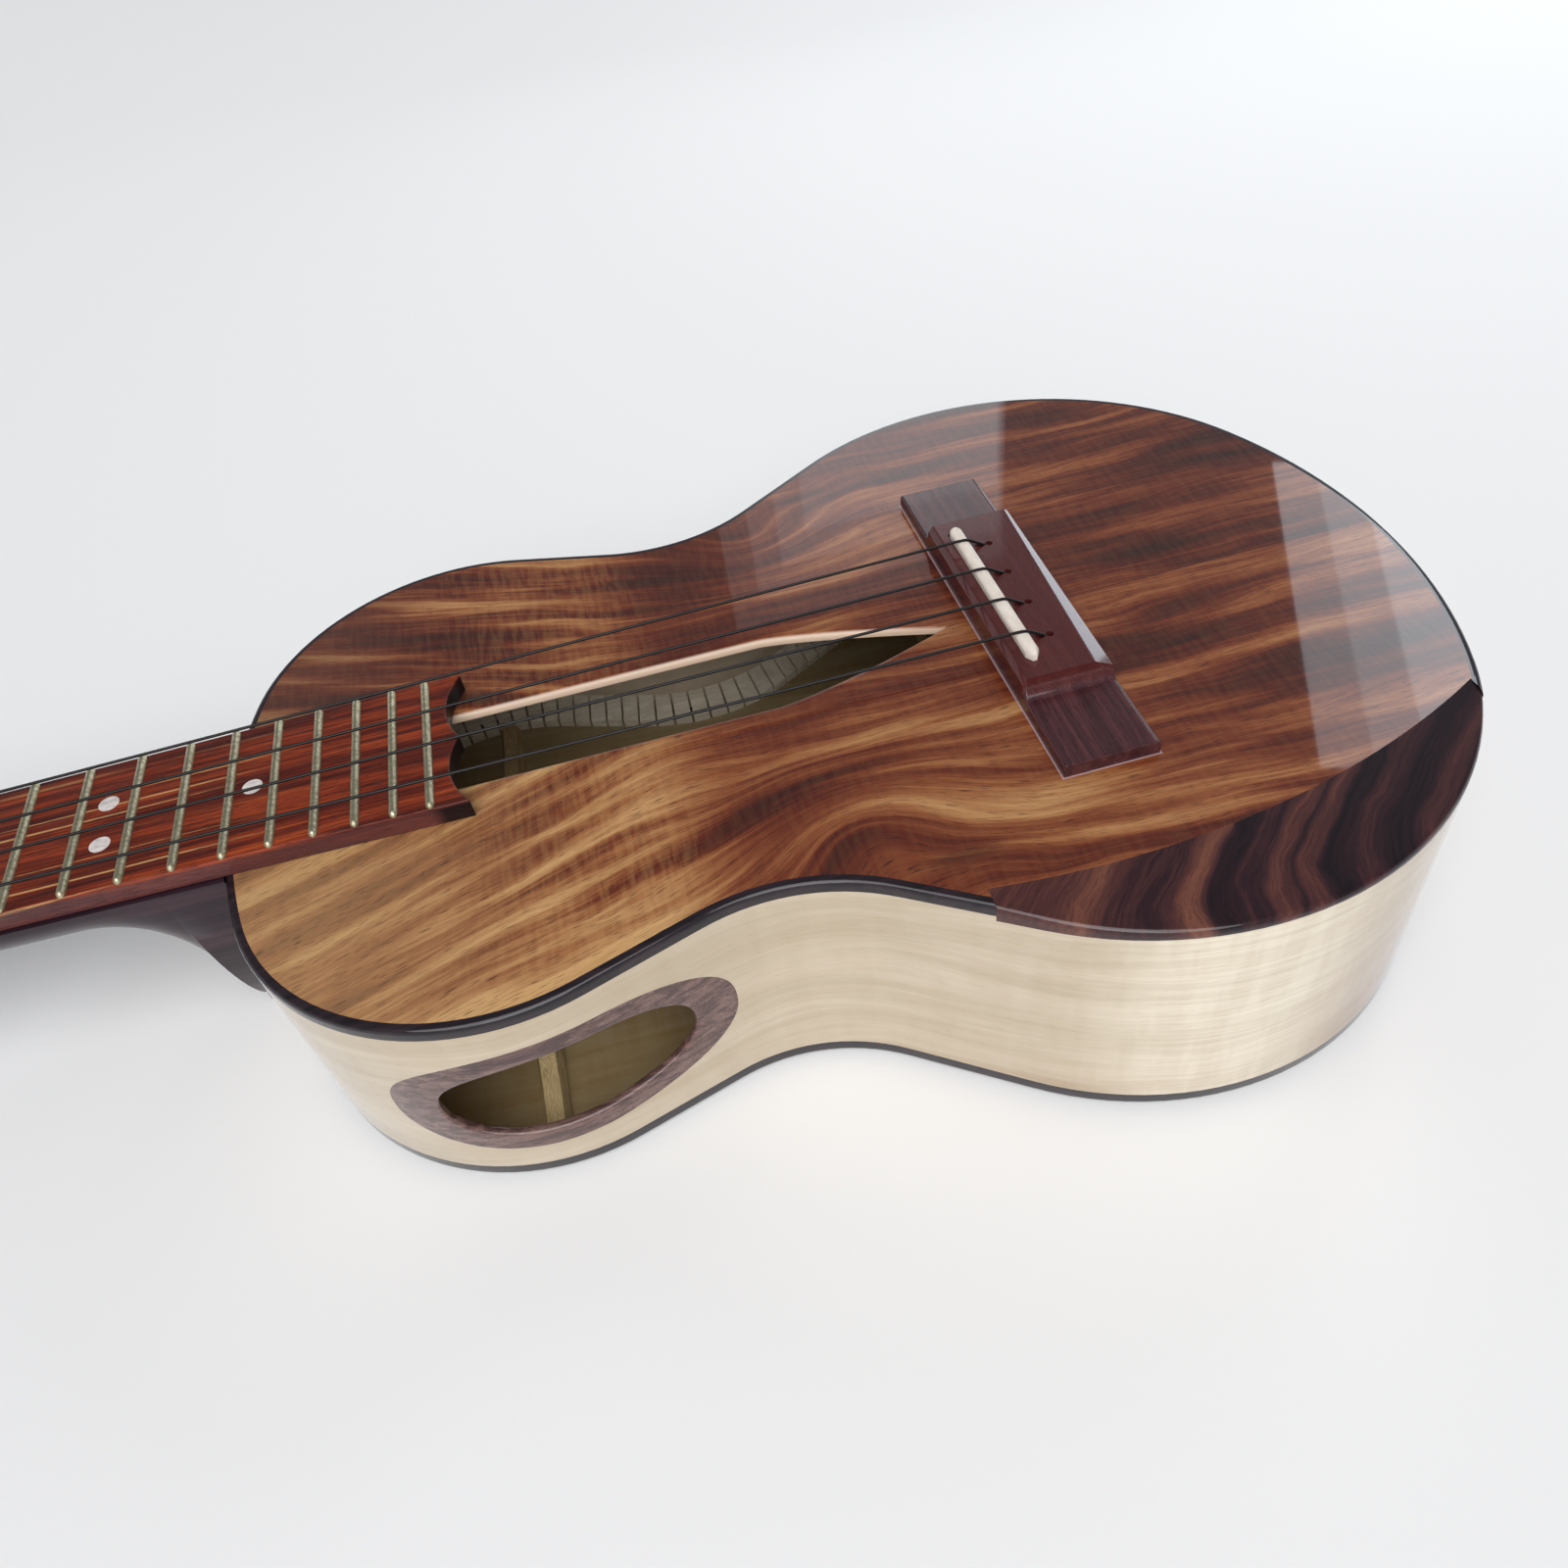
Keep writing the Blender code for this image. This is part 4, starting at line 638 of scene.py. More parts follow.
def bump(tree, a, b, centre, spread, height):
    """A round hill of the given height in two coordinates, used to bend the grain into a swirl."""
    u = calc(tree, "DIVIDE", minus(tree, a, centre[0]), spread[0])
    v = calc(tree, "DIVIDE", minus(tree, b, centre[1]), spread[1])
    square = plus(tree, times(tree, u, u), times(tree, v, v))
    return times(tree, calc(tree, "EXPONENT", times(tree, square, -1.0)), height)


def profile_along(tree, x, stops):
    """A level that changes along the instrument, from pairs of place in millimetres and level."""
    share = calc(tree, "DIVIDE", x, 300.0)
    return ramp(tree, share, [(place / 300.0, level) for place, level in stops], spline=True)


def top_paint(tree, x, y, z):
    """Golden and red-brown figure, mirrored at the joint, with fanned streaks, curl, swirls and knots; the
    near half painted lighter, as it catches the light.
    """
    off_joint = minus(tree, y, SLOT_CENTRE)
    near = rise(tree, off_joint, 0.15, -0.15)
    far = minus(tree, 1.0, near)
    v = calc(tree, "ABSOLUTE", off_joint)
    past = minus(tree, x, 105.0)
    fan = node(tree, "Math", {0: past, 1: 0.0, 2: 22.0}, operation="SMOOTH_MIN").outputs[0]
    g = plus(tree, v, times(tree, fan, 0.36))
    g = plus(tree, g, bump(tree, x, v, (146.0, 58.0), (24.0, 18.0), 17.0))
    g = plus(tree, g, bump(tree, x, v, (168.0, 78.0), (14.0, 7.0), 4.0))
    half = times(tree, near, 37.0)
    drift = clouds(tree, scaled(tree, x, g, half, 0.014, 0.04, 1.0), 2.0)
    g = plus(tree, g, times(tree, minus(tree, drift, 0.5), 12.0))
    look = grained(tree, x, g, z, 8.0, 90.0, (1.7, 11.0), 4.0)
    bands = grained(tree, x, g, half, 15.0, 130.0)
    # Each half gets its own brightness along the length: partly the figure, partly painted light, with the
    # near half lighter as it catches the light.
    stops = [(0, 0.5), (40, 0.74), (80, 0.62), (100, 0.62), (108, 0.48), (120, 0.22), (138, 0.16)]
    stops += [(156, 0.36), (186, 0.44), (212, 0.34), (240, 0.16)]
    bright = times(tree, profile_along(tree, x, stops), near)
    stops = [(0, 0.14), (50, 0.18), (76, 0.46), (96, 0.52), (108, 0.18), (122, 0.02), (146, 0.2), (168, 0.3)]
    stops += [(196, 0.14), (240, 0.1)]
    bright = plus(tree, bright, times(tree, profile_along(tree, x, stops), far))
    level = times(tree, bright, 0.62)
    for source, weight in ((bands["Streaks"], 0.32), (look["Streaks"], 0.28), (look["Lines"], 0.1)):
        level = plus(tree, level, times(tree, source, weight))
    swing = times(tree, minus(tree, look["Streaks"], 0.5), rise(tree, x, 112.0, 70.0))
    level = plus(tree, level, times(tree, swing, 0.24))
    stops = [(0.1, tint(34, 9, 5)), (0.3, tint(70, 22, 11)), (0.42, tint(92, 34, 16))]
    stops.append((0.54, tint(116, 56, 29)))
    stops += [(0.66, tint(142, 84, 48)), (0.8, tint(168, 118, 74)), (1.0, tint(200, 156, 104))]
    colour = ramp(tree, level, stops)
    # Painted light near the neck: the near half lifted towards golden olive where it catches the light, and
    # the far half darkened with painted shade.
    olive = times(tree, rise(tree, x, 90.0, 20.0), times(tree, near, 0.5))
    colour = blend(tree, olive, colour, tint(178, 140, 96))
    dull = times(tree, rise(tree, x, 62.0, 20.0), times(tree, far, 0.5))
    colour = blend(tree, dull, colour, tint(96, 56, 44))
    curl_zone = times(tree, rise(tree, x, 40.0, 84.0), rise(tree, x, 116.0, 100.0))
    curl_zone = times(tree, curl_zone, plus(tree, 0.08, times(tree, near, 0.06)))
    curl = plus(tree, 0.03, curl_zone)
    colour = blend(tree, times(tree, look["Ripple"], curl), colour, tint(206, 160, 100))
    knot = bump(tree, x, v, (164.0, 75.0), (9.0, 2.6), 0.5)
    colour = blend(tree, knot, colour, tint(36, 14, 10))
    colour = blend(tree, times(tree, look["Pores"], 0.65), colour, tint(46, 20, 13))
    seam = times(tree, rise(tree, v, 0.3, 0.1), 0.45)
    colour = blend(tree, seam, colour, tint(40, 18, 12))
    # A thin pale line round the bridge's foot: painted highlight on the lacquer along its edge.
    past = minus(tree, calc(tree, "ABSOLUTE", minus(tree, x, 204.0)), 11.5)
    beside = minus(tree, calc(tree, "ABSOLUTE", y), 59.4)
    foot = rise(tree, calc(tree, "MAXIMUM", past, beside), 0.55, 0.35)
    colour = blend(tree, times(tree, foot, 0.6), colour, tint(190, 166, 172))
    # The slot's rounded lip is painted pale: partly the paler cut edge of the wood, partly painted reflection
    # of the light on the rounding.
    lip = rise(tree, z, -0.12, -0.7)
    return blend(tree, lip, colour, tint(212, 184, 160)), look["Lines"]


top_wood = wood("figured top", top_paint, coat=1.0, gloss=0.5)
top_wood.node_tree.nodes["Principled BSDF"].inputs["Coat Roughness"].default_value = 0.03
board = carved(prism(full_outline(BINDING_WIDTH), -SOUNDBOARD_THICKNESS, 0.0), slot_cutter())
board = carved(board, armrest_pocket())
soundboard = piece("figured_soundboard", board, top_wood, ["soundboard"])
soundboard.modifiers.new("true flat face", "WEIGHTED_NORMAL").keep_sharp = True

# The bindings. Strips of near-black rosewood are glued into a step round the edge of the top and of the
# back, rounded over with a scraper and lacquered. The armrest takes the top one's place over the bass edge.
BINDING_ROUNDING = 1.3


def binding_paint(tree, x, y, z):
    """Nearly black rosewood, faintly streaked."""
    look = grained(tree, x, y, z, 2.0, 120.0)
    return ramp(tree, look["Streaks"], [(0.0, tint(18, 12, 18)), (1.0, tint(40, 27, 34))]), look["Lines"]


def binding(high, low, up):
    """Ring with its outer corner rounded. high and low give its faces' heights at X."""
    profile = [(BINDING_WIDTH, high, 0.0)]
    for i in range(8):
        angle = math.pi / 2 * i / 7
        away = BINDING_ROUNDING * (1 - math.sin(angle))
        profile.append((away, high, -up * BINDING_ROUNDING * (1 - math.cos(angle))))
    profile += [(0.0, low, 0.0), (BINDING_WIDTH, low, 0.0)]
    loops = [(full_outline(inset), level, lift) for inset, level, lift in profile]
    rows = []
    for i in range(len(loops[0][0])):
        rows.append([(*loop[i], level(loop[i][0]) + lift) for loop, level, lift in loops])
    return rows_of(rows, ring=True)


binding_wood = wood("near-black binding", binding_paint, coat=1.0, gloss=0.4)
top_binding = carved(binding(lambda x: 0.0, lambda x: -TOP_BINDING_HEIGHT, 1), armrest_pocket())
piece("binding_round_top", top_binding, binding_wood, ["binding_top"], crease=50.0)
back_binding = binding(back_at, lambda x: back_at(x) + BACK_BINDING_HEIGHT, -1)
piece("binding_round_back", back_binding, binding_wood, ["binding_back"], crease=50.0)

# The armrest. A wedge of striped ebony is let in over the bass edge, bevelled down to the side so that
# the player's arm lies on it, and its outer arris rounded. It is cut on the curve of one large circle.
ARMREST_SLOPE = 0.12
ARMREST_EDGE_RADIUS = 1.6


def armrest_paint(tree, x, y, z):
    """Black ebony with brown stripes that cross it and bend away towards the inner edge."""
    past = node(tree, "Math", {0: plus(tree, y, 97.0), 1: 0.0, 2: 9.0}, operation="SMOOTH_MAX").outputs[0]
    wobble = clouds(tree, scaled(tree, x, y, z, 0.07, 0.07, 0.07), 2.0)
    wobble = times(tree, minus(tree, wobble, 0.5), 6.0)
    ring = plus(tree, minus(tree, x, times(tree, past, 1.15)), wobble)
    stops = [(150, 0.7), (166, 0.6), (173, 0.7), (178, 0.95), (183, 0.5), (194, 0.38), (198, 0.55)]
    stops += [(201, 1.0), (204, 0.85), (206, 0.1), (210, 0.12), (213, 0.45), (217, 0.3), (220, 0.75)]
    stops += [(223, 0.65), (225, 0.3), (227, 0.7), (230, 0.6), (232, 0.08), (236, 0.12), (239, 0.5)]
    stops += [(244, 0.4), (247, 0.05), (252, 0.1), (256, 0.6), (262, 0.3), (268, 0.7), (276, 0.15)]
    stops += [(284, 0.6), (298, 0.3)]
    share = calc(tree, "DIVIDE", minus(tree, ring, 150.0), 150.0)
    stripes = ramp(tree, share, [((place - 150) / 150.0, level) for place, level in stops])
    look = grained(tree, y, ring, z, 1.3, 60.0, wander=1.0)
    level = times(tree, stripes, 0.8)
    level = plus(tree, level, times(tree, look["Streaks"], 0.16))
    level = plus(tree, level, times(tree, look["Lines"], 0.08))
    stops = [(0.12, tint(16, 5, 12)), (0.4, tint(42, 20, 26)), (0.66, tint(74, 40, 37))]
    stops.append((1.0, tint(116, 70, 54)))
    colour = ramp(tree, level, stops)
    return blend(tree, times(tree, look["Pores"], 0.3), colour, tint(12, 8, 10)), look["Lines"]


def armrest():
    rows = []
    for x in armrest_places(120):
        inner, outer = armrest_y(x), -half_width(x)
        drop = ARMREST_SLOPE * (inner - outer)
        edge = min(ARMREST_EDGE_RADIUS, 0.4 * (inner - outer))
        row = [(x, inner + (outer + edge - inner) * share, -drop * share) for share in (0.0, 0.3, 0.6)]
        for k in range(9):
            angle = math.pi / 2 * k / 8
            row.append((x, outer + edge * (1 - math.sin(angle)), -drop - edge * (1 - math.cos(angle))))
        rows.append(row + [(x, outer, -ARMREST_THICKNESS), (x, inner, -ARMREST_THICKNESS)])
    return rows_of(rows)


armrest_wood = wood("striped ebony", armrest_paint, coat=1.0, gloss=0.4)
piece("bevelled_armrest", armrest(), armrest_wood, ["armrest"], crease=40.0)

# The neck. One piece of purple-brown hardwood is carved to a round back, with a heel that sweeps down to
# the body's back and a flat headstock tipped back behind the nut. It is rubbed down to a satin lacquer.
NUT_TO_BODY = 236.0
NUT_EDGE = -241.3
HEEL_START = -36.0
HEEL_FOOT = -13.0
HEADSTOCK_LENGTH = 148.0
HEADSTOCK_THICKNESS = 12.5
HEADSTOCK_ANGLE = math.radians(8.0)
TUNERS = ((1, 46.0, -1), (2, 92.0, -1), (3, 92.0, 1), (4, 46.0, 1))


def smooth(value, start, end):
    share = min(1.0, max(0.0, (value - start) / (end - start)))
    return share * share * (3 - 2 * share)


def neck_half_width(x):
    past = NUT_EDGE - x
    shaft = 24.0 - 5.8 * min(1.0, max(0.0, -x / NUT_TO_BODY))
    return shaft + 11.3 * smooth(past, 5.0, 34.0) - 1.5 * smooth(past, 92.0, HEADSTOCK_LENGTH)


def neck_top(x):
    return 0.0 if x > -241.12 else -1.8 - (NUT_EDGE - x) * math.tan(HEADSTOCK_ANGLE)


def heel_floor(x):
    return back_at(x) + 3.0


def heel_depth(x):
    foot = -heel_floor(0.0) / math.sqrt(1 - (11.0 / 24.0) ** 2)
    share = min(1.0, max(0.0, (x - HEEL_START) / (HEEL_FOOT - HEEL_START)))
    return 15.5 + (foot - 15.5) * (1 - math.sqrt(1 - share * share))


def neck_section(x, count=40):
    """Half round under a flat top, turning to a slab with rounded arrises in the headstock."""
    width, depth = neck_half_width(x), heel_depth(x)
    if x < HEEL_START:
        depth = 15.5 - 2.0 * min(1.0, (HEEL_START - x) / 200.0)
    slab, row = smooth(-x, 236.0, 263.0), []
    for i in range(count + 1):
        angle = math.pi * i / count
        c, s = math.cos(angle), math.sin(angle)
        reach = 1.0 / max(abs(c), s / (HEADSTOCK_THICKNESS / width))
        corner = max(0.0, 1 - abs(abs(c) * HEADSTOCK_THICKNESS / width - s) / 0.09) * 0.05
        y = (1 - slab) * width * c + slab * width * c * reach * (1 - corner)
        z = (1 - slab) * depth * s + slab * width * s * reach * (1 - corner)
        level = neck_top(x) - z
        row.append((x, y, max(level, heel_floor(x)) if x > HEEL_START else level))
    return row


def headstock_end(y):
    share = y / neck_half_width(NUT_EDGE - HEADSTOCK_LENGTH)
    return NUT_EDGE - HEADSTOCK_LENGTH - 7.0 * (1 - share * share)


headstock = Matrix.Translation((NUT_EDGE, 0.0, -1.8)) @ Matrix.Rotation(-HEADSTOCK_ANGLE, 4, "Y")


def tuner_place(along, side):
    return headstock @ Matrix.Translation((-along, side * (neck_half_width(NUT_EDGE - along) - 13.0), 0.0))


def circle(sides):
    """Points of the unit circle, for turned shapes."""
    return [(math.cos(math.tau * i / sides), math.sin(math.tau * i / sides)) for i in range(sides)]


def pin(radius, low, high, place, sides=32):
    """Cutter or post between two heights along a place's own Z."""
    ring = circle(sides)
    return rows_of([[place @ Vector((radius * x, radius * y, z)) for x, y in ring] for z in (low, high)])


def bored(shape, radius):
    for _, along, side in TUNERS:
        shape = carved(shape, pin(radius, -30.0, 20.0, tuner_place(along, side)))
    return shape


def neck():
    sweep = [HEEL_START + (HEEL_FOOT - HEEL_START) * math.sin(math.radians(a)) for a in range(84, -1, -4)]
    places = [6.0, 0.0, -6.5, HEEL_FOOT] + sweep + [HEEL_START - 10.0 * i for i in range(1, 20)]
    places += [-234.0, -238.0, -241.0, NUT_EDGE] + [NUT_EDGE - 1.5 * i for i in range(2, 28)]
    places += [NUT_EDGE - 42.0 - 10.0 * i for i in range(1, 10)]
    rows = [neck_section(x) for x in places]
    end, slope = neck_section(NUT_EDGE - HEADSTOCK_LENGTH), math.tan(HEADSTOCK_ANGLE)
    for share in (0.0, 0.5, 1.0):
        row = []
        for x, y, z in end:
            moved = (headstock_end(y) - x - 4.0) * share + 4.0
            row.append((x + moved, y, z + moved * slope))
        rows.append(row)
    return rows_of(rows)


def neck_paint(tree, x, y, z):
    """Purple-brown with fine dark pores and soft darker bands."""
    look = grained(tree, x, y, z, 5.0, 130.0)
    stops = [(0.0, tint(26, 13, 22)), (0.6, tint(42, 25, 35)), (1.0, tint(58, 37, 45))]
    colour = ramp(tree, look["Streaks"], stops)
    return blend(tree, times(tree, look["Pores"], 0.6), colour, tint(30, 18, 20)), look["Pores"]


neck_wood = wood("neck hardwood", neck_paint, coat=0.5, gloss=0.4)
joint = prism(full_outline(), -90.0, 10.0)
piece("carved_neck", bored(carved(neck(), joint), 3.3), neck_wood, ["neck"], crease=40.0)

# The heel cap. A slip of rosewood is glued to the heel's foot, flush with the back and shaped with it.


def cap_outline():
    half = []
    for i in range(25):
        x = HEEL_START + (HEEL_FOOT - HEEL_START) * math.sin(math.pi / 2 * (0.9 + 0.1 * i / 24))
        ratio = -heel_floor(x) / heel_depth(x)
        if ratio < 1:
            half.append((x, neck_half_width(x) * math.sqrt(1 - ratio * ratio)))
    half.append((6.0, 11.0))
    return half + [(x, -y) for x, y in reversed(half)]


def rosewood_paint(tree, x, y, z):
    """Purple-brown rosewood with dark lines along it and open pores."""
    look = grained(tree, x, y, z, 2.6, 80.0, wander=4.0)
    fine = times(tree, look["Lines"], 0.4)
    level = plus(tree, times(tree, look["Streaks"], 0.6), fine)
    colour = ramp(tree, level, [(0.0, tint(50, 24, 28)), (0.5, tint(70, 36, 40)), (1.0, tint(92, 52, 52))])
    return blend(tree, times(tree, look["Pores"], 0.6), colour, tint(30, 14, 16)), look["Pores"]


rosewood = wood("satin rosewood", rosewood_paint, coat=0.8, gloss=0.42, relief=0.08)
cap = carved(prism(cap_outline(), back_at, heel_floor), prism(full_outline(), -90.0, 10.0))
piece("heel_cap_slip", cap, rosewood, ["heel_cap"])

# The headplate. A thin rosewood veneer faces the headstock, trimmed to its outline with a small bevel.


def headplate():
    past = [0.3] + [1.5 * i for i in range(1, 28)] + [40.0 + 6.0 * i for i in range(1, 18)]
    side = [(NUT_EDGE - step, neck_half_width(NUT_EDGE - step)) for step in past]
    width = neck_half_width(NUT_EDGE - HEADSTOCK_LENGTH)
    crown = [(headstock_end(width * (1 - i / 10)), width * (1 - i / 10)) for i in range(21)]
    outline = side + crown + [(x, -y) for x, y in reversed(side)]
    rows = []
    for level, inset in ((0.0, 0.0), (1.1, 0.0), (1.4, 0.12), (1.65, 0.4)):
        row = []
        for x, y in outline:
            row.append((x + inset * (x < -385.0), y - math.copysign(inset, y), neck_top(x) + level))
        rows.append(row)
    return rows_of(rows)


plate = piece("headstock_veneer", bored(headplate(), 3.3), rosewood, ["headplate"])
plate.modifiers.new("true flat face", "WEIGHTED_NORMAL").keep_sharp = True

# The fretboard. A tapered board of red-brown hardwood is glued to the neck and the top. Its end is cut
# in two scoops like a bracket, and small pearl dots are let in behind the fifth fret and on.
SCALE_LENGTH = 432.0
FRETBOARD_TOP = 5.6
FRETBOARD_END = 61.1
DOTS = ((5, 0.0, ""), (7, 0.0, ""), (10, 0.0, ""), (12, -7.0, "_bass"), (12, 7.0, "_treble"), (15, 0.0, ""))


def fret_x(number):
    return SCALE_LENGTH * (1 - 2 ** (-number / 12)) - NUT_TO_BODY


def fretboard_half_width(x):
    return 18.0 + 5.8 * (x + NUT_TO_BODY) / (NUT_TO_BODY + FRETBOARD_END)


def fretboard():
    end = []
    for i in range(65):
        share = 1 - i / 32
        scoop = 3.6 * math.sin(math.pi * abs(share)) ** 0.8 if 0 < abs(share) < 1 else 0.0
        end.append((FRETBOARD_END - 1.4 * (1 - abs(share)) - scoop, share * 23.8))
    outline = [(-235.9, -18.0), (-235.9, 18.0)] + end
    return prism(outline, 0.0, FRETBOARD_TOP)


def fretboard_paint(tree, x, y, z):
    """Orange-red to deep red-brown, with long dark streaks, a few pale ones towards the bass side, and
    painted shade on its end.
    """
    look = grained(tree, x, y, z, 3.4, 60.0)
    stops = [(0.0, tint(58, 18, 16)), (0.4, tint(98, 34, 20)), (0.75, tint(140, 54, 26))]
    stops.append((1.0, tint(166, 78, 36)))
    fine = times(tree, look["Lines"], 0.4)
    colour = ramp(tree, plus(tree, times(tree, look["Streaks"], 0.6), fine), stops)
    thin = clouds(tree, scaled(tree, x, y, z, 0.006, 0.62, 0.2), 2.0)
    zone = times(tree, rise(tree, x, 22.0, -8.0), rise(tree, thin, 0.6, 0.66))
    by_body = plus(tree, 0.25, times(tree, rise(tree, x, -110.0, -50.0), 0.75))
    zone = times(tree, zone, by_body)
    colour = blend(tree, times(tree, zone, 0.75), colour, tint(206, 158, 104))
    colour = blend(tree, times(tree, look["Pores"], 0.55), colour, tint(44, 16, 14))
    edge = rise(tree, z, FRETBOARD_TOP - 0.2, FRETBOARD_TOP - 1.0)
    colour = blend(tree, times(tree, edge, 0.75), colour, tint(78, 50, 52))
    # The board's end face, and its sides close to the end, are painted near black: painted shade over the end
    # grain.
    end = times(tree, edge, rise(tree, x, 51.0, 55.0))
    return blend(tree, times(tree, end, 0.95), colour, tint(12, 3, 8)), look["Pores"]


fretboard_wood = wood("red-brown fretboard", fretboard_paint, coat=0.25, gloss=0.4, relief=0.1)
board = piece("scooped_fretboard", fretboard(), fretboard_wood, ["fretboard"])
eased = board.modifiers.new("eased edges", "BEVEL")
eased.width, eased.segments, eased.angle_limit = 0.0005, 3, math.radians(50)
board.modifiers.new("true flat face", "WEIGHTED_NORMAL").keep_sharp = True


def pearl_paint(tree, x, y, z):
    """Milky shell with soft bands."""
    bands = clouds(tree, scaled(tree, x, y, z, 0.5, 1.1, 0.2), 2.0)
    return ramp(tree, bands, [(0.3, tint(196, 186, 184)), (0.7, tint(232, 226, 220))]), bands


pearl = wood("pearl dot", pearl_paint, coat=0.6, gloss=0.25)
for number, offset, ending in DOTS:
    middle = (fret_x(number) + fret_x(number - 1)) / 2
    spot = Matrix.Translation((middle, offset, 0.0))
    piece(f"dot_{number}{ending}", pin(2.5, 4.6, FRETBOARD_TOP + 0.03, spot, 48), pearl)

# The frets. Drawn nickel-silver wire with a rounded crown is pressed into sawn slots, and each end is
# dressed to a smooth round bead. The wire has dulled to a greenish grey between the strings.


def metal(name, colour, roughness, worn, mottle):
    """Solid metal, a little duller and darker in patches."""
    made = bpy.data.materials.new(name)
    made.use_nodes = True
    tree = made.node_tree
    shader = tree.nodes["Principled BSDF"]
    place = node(tree, "TexCoord").outputs["Object"]
    patches = node(tree, "TexNoise", {"Vector": place, "Scale": mottle, "Detail": 4.0}).outputs[0]
    dull = rise(tree, patches, 0.4, 0.65)
    tree.links.new(blend(tree, dull, colour, worn), shader.inputs["Base Color"])
    rough = node(tree, "MapRange", {"Value": dull, "To Min": roughness, "To Max": roughness + 0.14})
    tree.links.new(rough.outputs[0], shader.inputs["Roughness"])
    shader.inputs["Metallic"].default_value = 1.0
    return made


def fret(number):
    x, half = fret_x(number), fretboard_half_width(fret_x(number)) - 0.2
    ends = [half - 1.3 + 1.3 * math.sin(math.pi / 2 * i / 6) for i in range(7)]
    rows = []
    for y in [-end for end in reversed(ends)] + ends:
        shrink = math.sqrt(max(0.02, 1 - max(0.0, (abs(y) - half + 1.3) / 1.3) ** 2))
        row = [(x + 1.1 * shrink, y, FRETBOARD_TOP - 0.4)]
        for i in range(9):
            angle = math.pi * i / 8
            out, up = 1.1 * shrink * math.cos(angle), 1.3 * shrink * math.sin(angle)
            row.append((x + out, y, FRETBOARD_TOP + up))
        rows.append(row + [(x - 1.1 * shrink, y, FRETBOARD_TOP - 0.4)])
    return rows_of(rows)


fret_wire = metal("fret wire", tint(206, 198, 168), 0.38, tint(172, 166, 138), 900.0)
for number in range(1, 20):
    name = f"fret_{number:02d}"
    piece("crowned_" + name, fret(number), fret_wire, [name], crease=60.0)

# The nut. A bar of bone is glued across the neck at the board's end. Its top is rounded back towards the
# headstock, and a shallow round slot holds each string.
STRING_RADIUS = 0.4
LANES = (("string_g", -1.5), ("string_c", -0.5), ("string_e", 0.5), ("string_a", 1.5))


def rounded(path, reach, steps=5):
    """The path with each inner corner turned into a short curve that starts at most reach before it."""
    path = [Vector(point) for point in path]
    made = [path[0]]
    for before, corner, after in zip(path, path[1:], path[2:]):
        start = corner + (before - corner).normalized() * min(reach, 0.48 * (before - corner).length)
        end = corner + (after - corner).normalized() * min(reach, 0.48 * (after - corner).length)
        for i in range(steps + 1):
            t = i / steps
            made.append(start * (1 - t) ** 2 + corner * (2 * t * (1 - t)) + end * t**2)
    return made + [path[-1]]


def bone_paint(tree, x, y, z):
    """Bone white with faint cream flecks along the bar."""
    flecks = clouds(tree, scaled(tree, x, y, z, 0.9, 0.25, 0.9), 4.0, 0.6)
    return ramp(tree, flecks, [(0.3, tint(222, 204, 190)), (0.7, tint(238, 224, 212))]), flecks


bone = wood("polished bone", bone_paint, coat=0.3, gloss=0.35)
bone.node_tree.nodes["Principled BSDF"].inputs["Subsurface Weight"].default_value = 0.1


def nut():
    corners = [(-236.0, 0.0), (-236.0, 8.2), (-238.0, 8.2), (-240.0, 7.2), (-241.0, 5.8), (-241.0, 0.0)]
    rows = []
    for y, drop in ((-17.9, 0.5), (-17.6, 0.12), (-17.2, 0.0), (17.2, 0.0), (17.6, 0.12), (17.9, 0.5)):
        profile = [(x, z - drop if z > 1.0 else z) for x, z in corners]
        rows.append([(x, y, z) for x, z in rounded(profile, 0.9)])
    return rows_of(rows)


shape = nut()
for _, lane in LANES:
    along = Matrix.Translation((-238.0, 9.4 * lane, 8.3)) @ Matrix.Rotation(math.pi / 2, 4, "Y")
    shape = carved(shape, pin(0.43, -6.0, 6.0, along, 16))
piece("slotted_nut", shape, bone, ["nut"], crease=30.0)

# The bridge. A bar of purple-brown rosewood glued to the top, high in the middle behind a slot for the
# saddle, coved down to a thin wing on each side, with a planed rear slope that widens to the bass side.
BRIDGE_FRONT = 192.5
BRIDGE_REAR = 215.5
BRIDGE_LOW = 3.5
BRIDGE_RISE = 4.8
SADDLE_X = 198.0
HOLE_X = 205.0
STRING_SPACING = 13.7


def bridge():
    stations = [(59.4, -0.5), (59.3, -0.2), (59.1, -0.05), (58.8, 0.0), (48.0, 0.0), (37.0, 0.0)]
    for i in range(1, 11):
        t = i / 10
        stations.append((37.0 - 3.0 * t, BRIDGE_RISE * (0.18 * t + 0.82 * (1 - math.sqrt(1 - t * t)))))
    stations += [(33.7, BRIDGE_RISE), (20.0, BRIDGE_RISE)]
    rows = []
    for y, lift in stations + [(-y, lift) for y, lift in reversed(stations)]:
        high, share = BRIDGE_LOW + lift, max(0.0, lift / BRIDGE_RISE)
        slope = 0.9 + share * (2.1 - 0.053 * y)
        rear = high - 0.5 - 0.5 * (slope - 0.9)
        corners = [(BRIDGE_FRONT, 0.0), (BRIDGE_FRONT, high - 0.5 - 1.1 * share)]
        corners += [(BRIDGE_FRONT + 0.4 + 1.0 * share, high), (BRIDGE_REAR - slope, high)]
        corners += [(BRIDGE_REAR, rear), (BRIDGE_REAR, 0.0)]
        rows.append([(x, y, z) for x, z in rounded(corners, 0.28, 3)])
    return rows_of(rows)


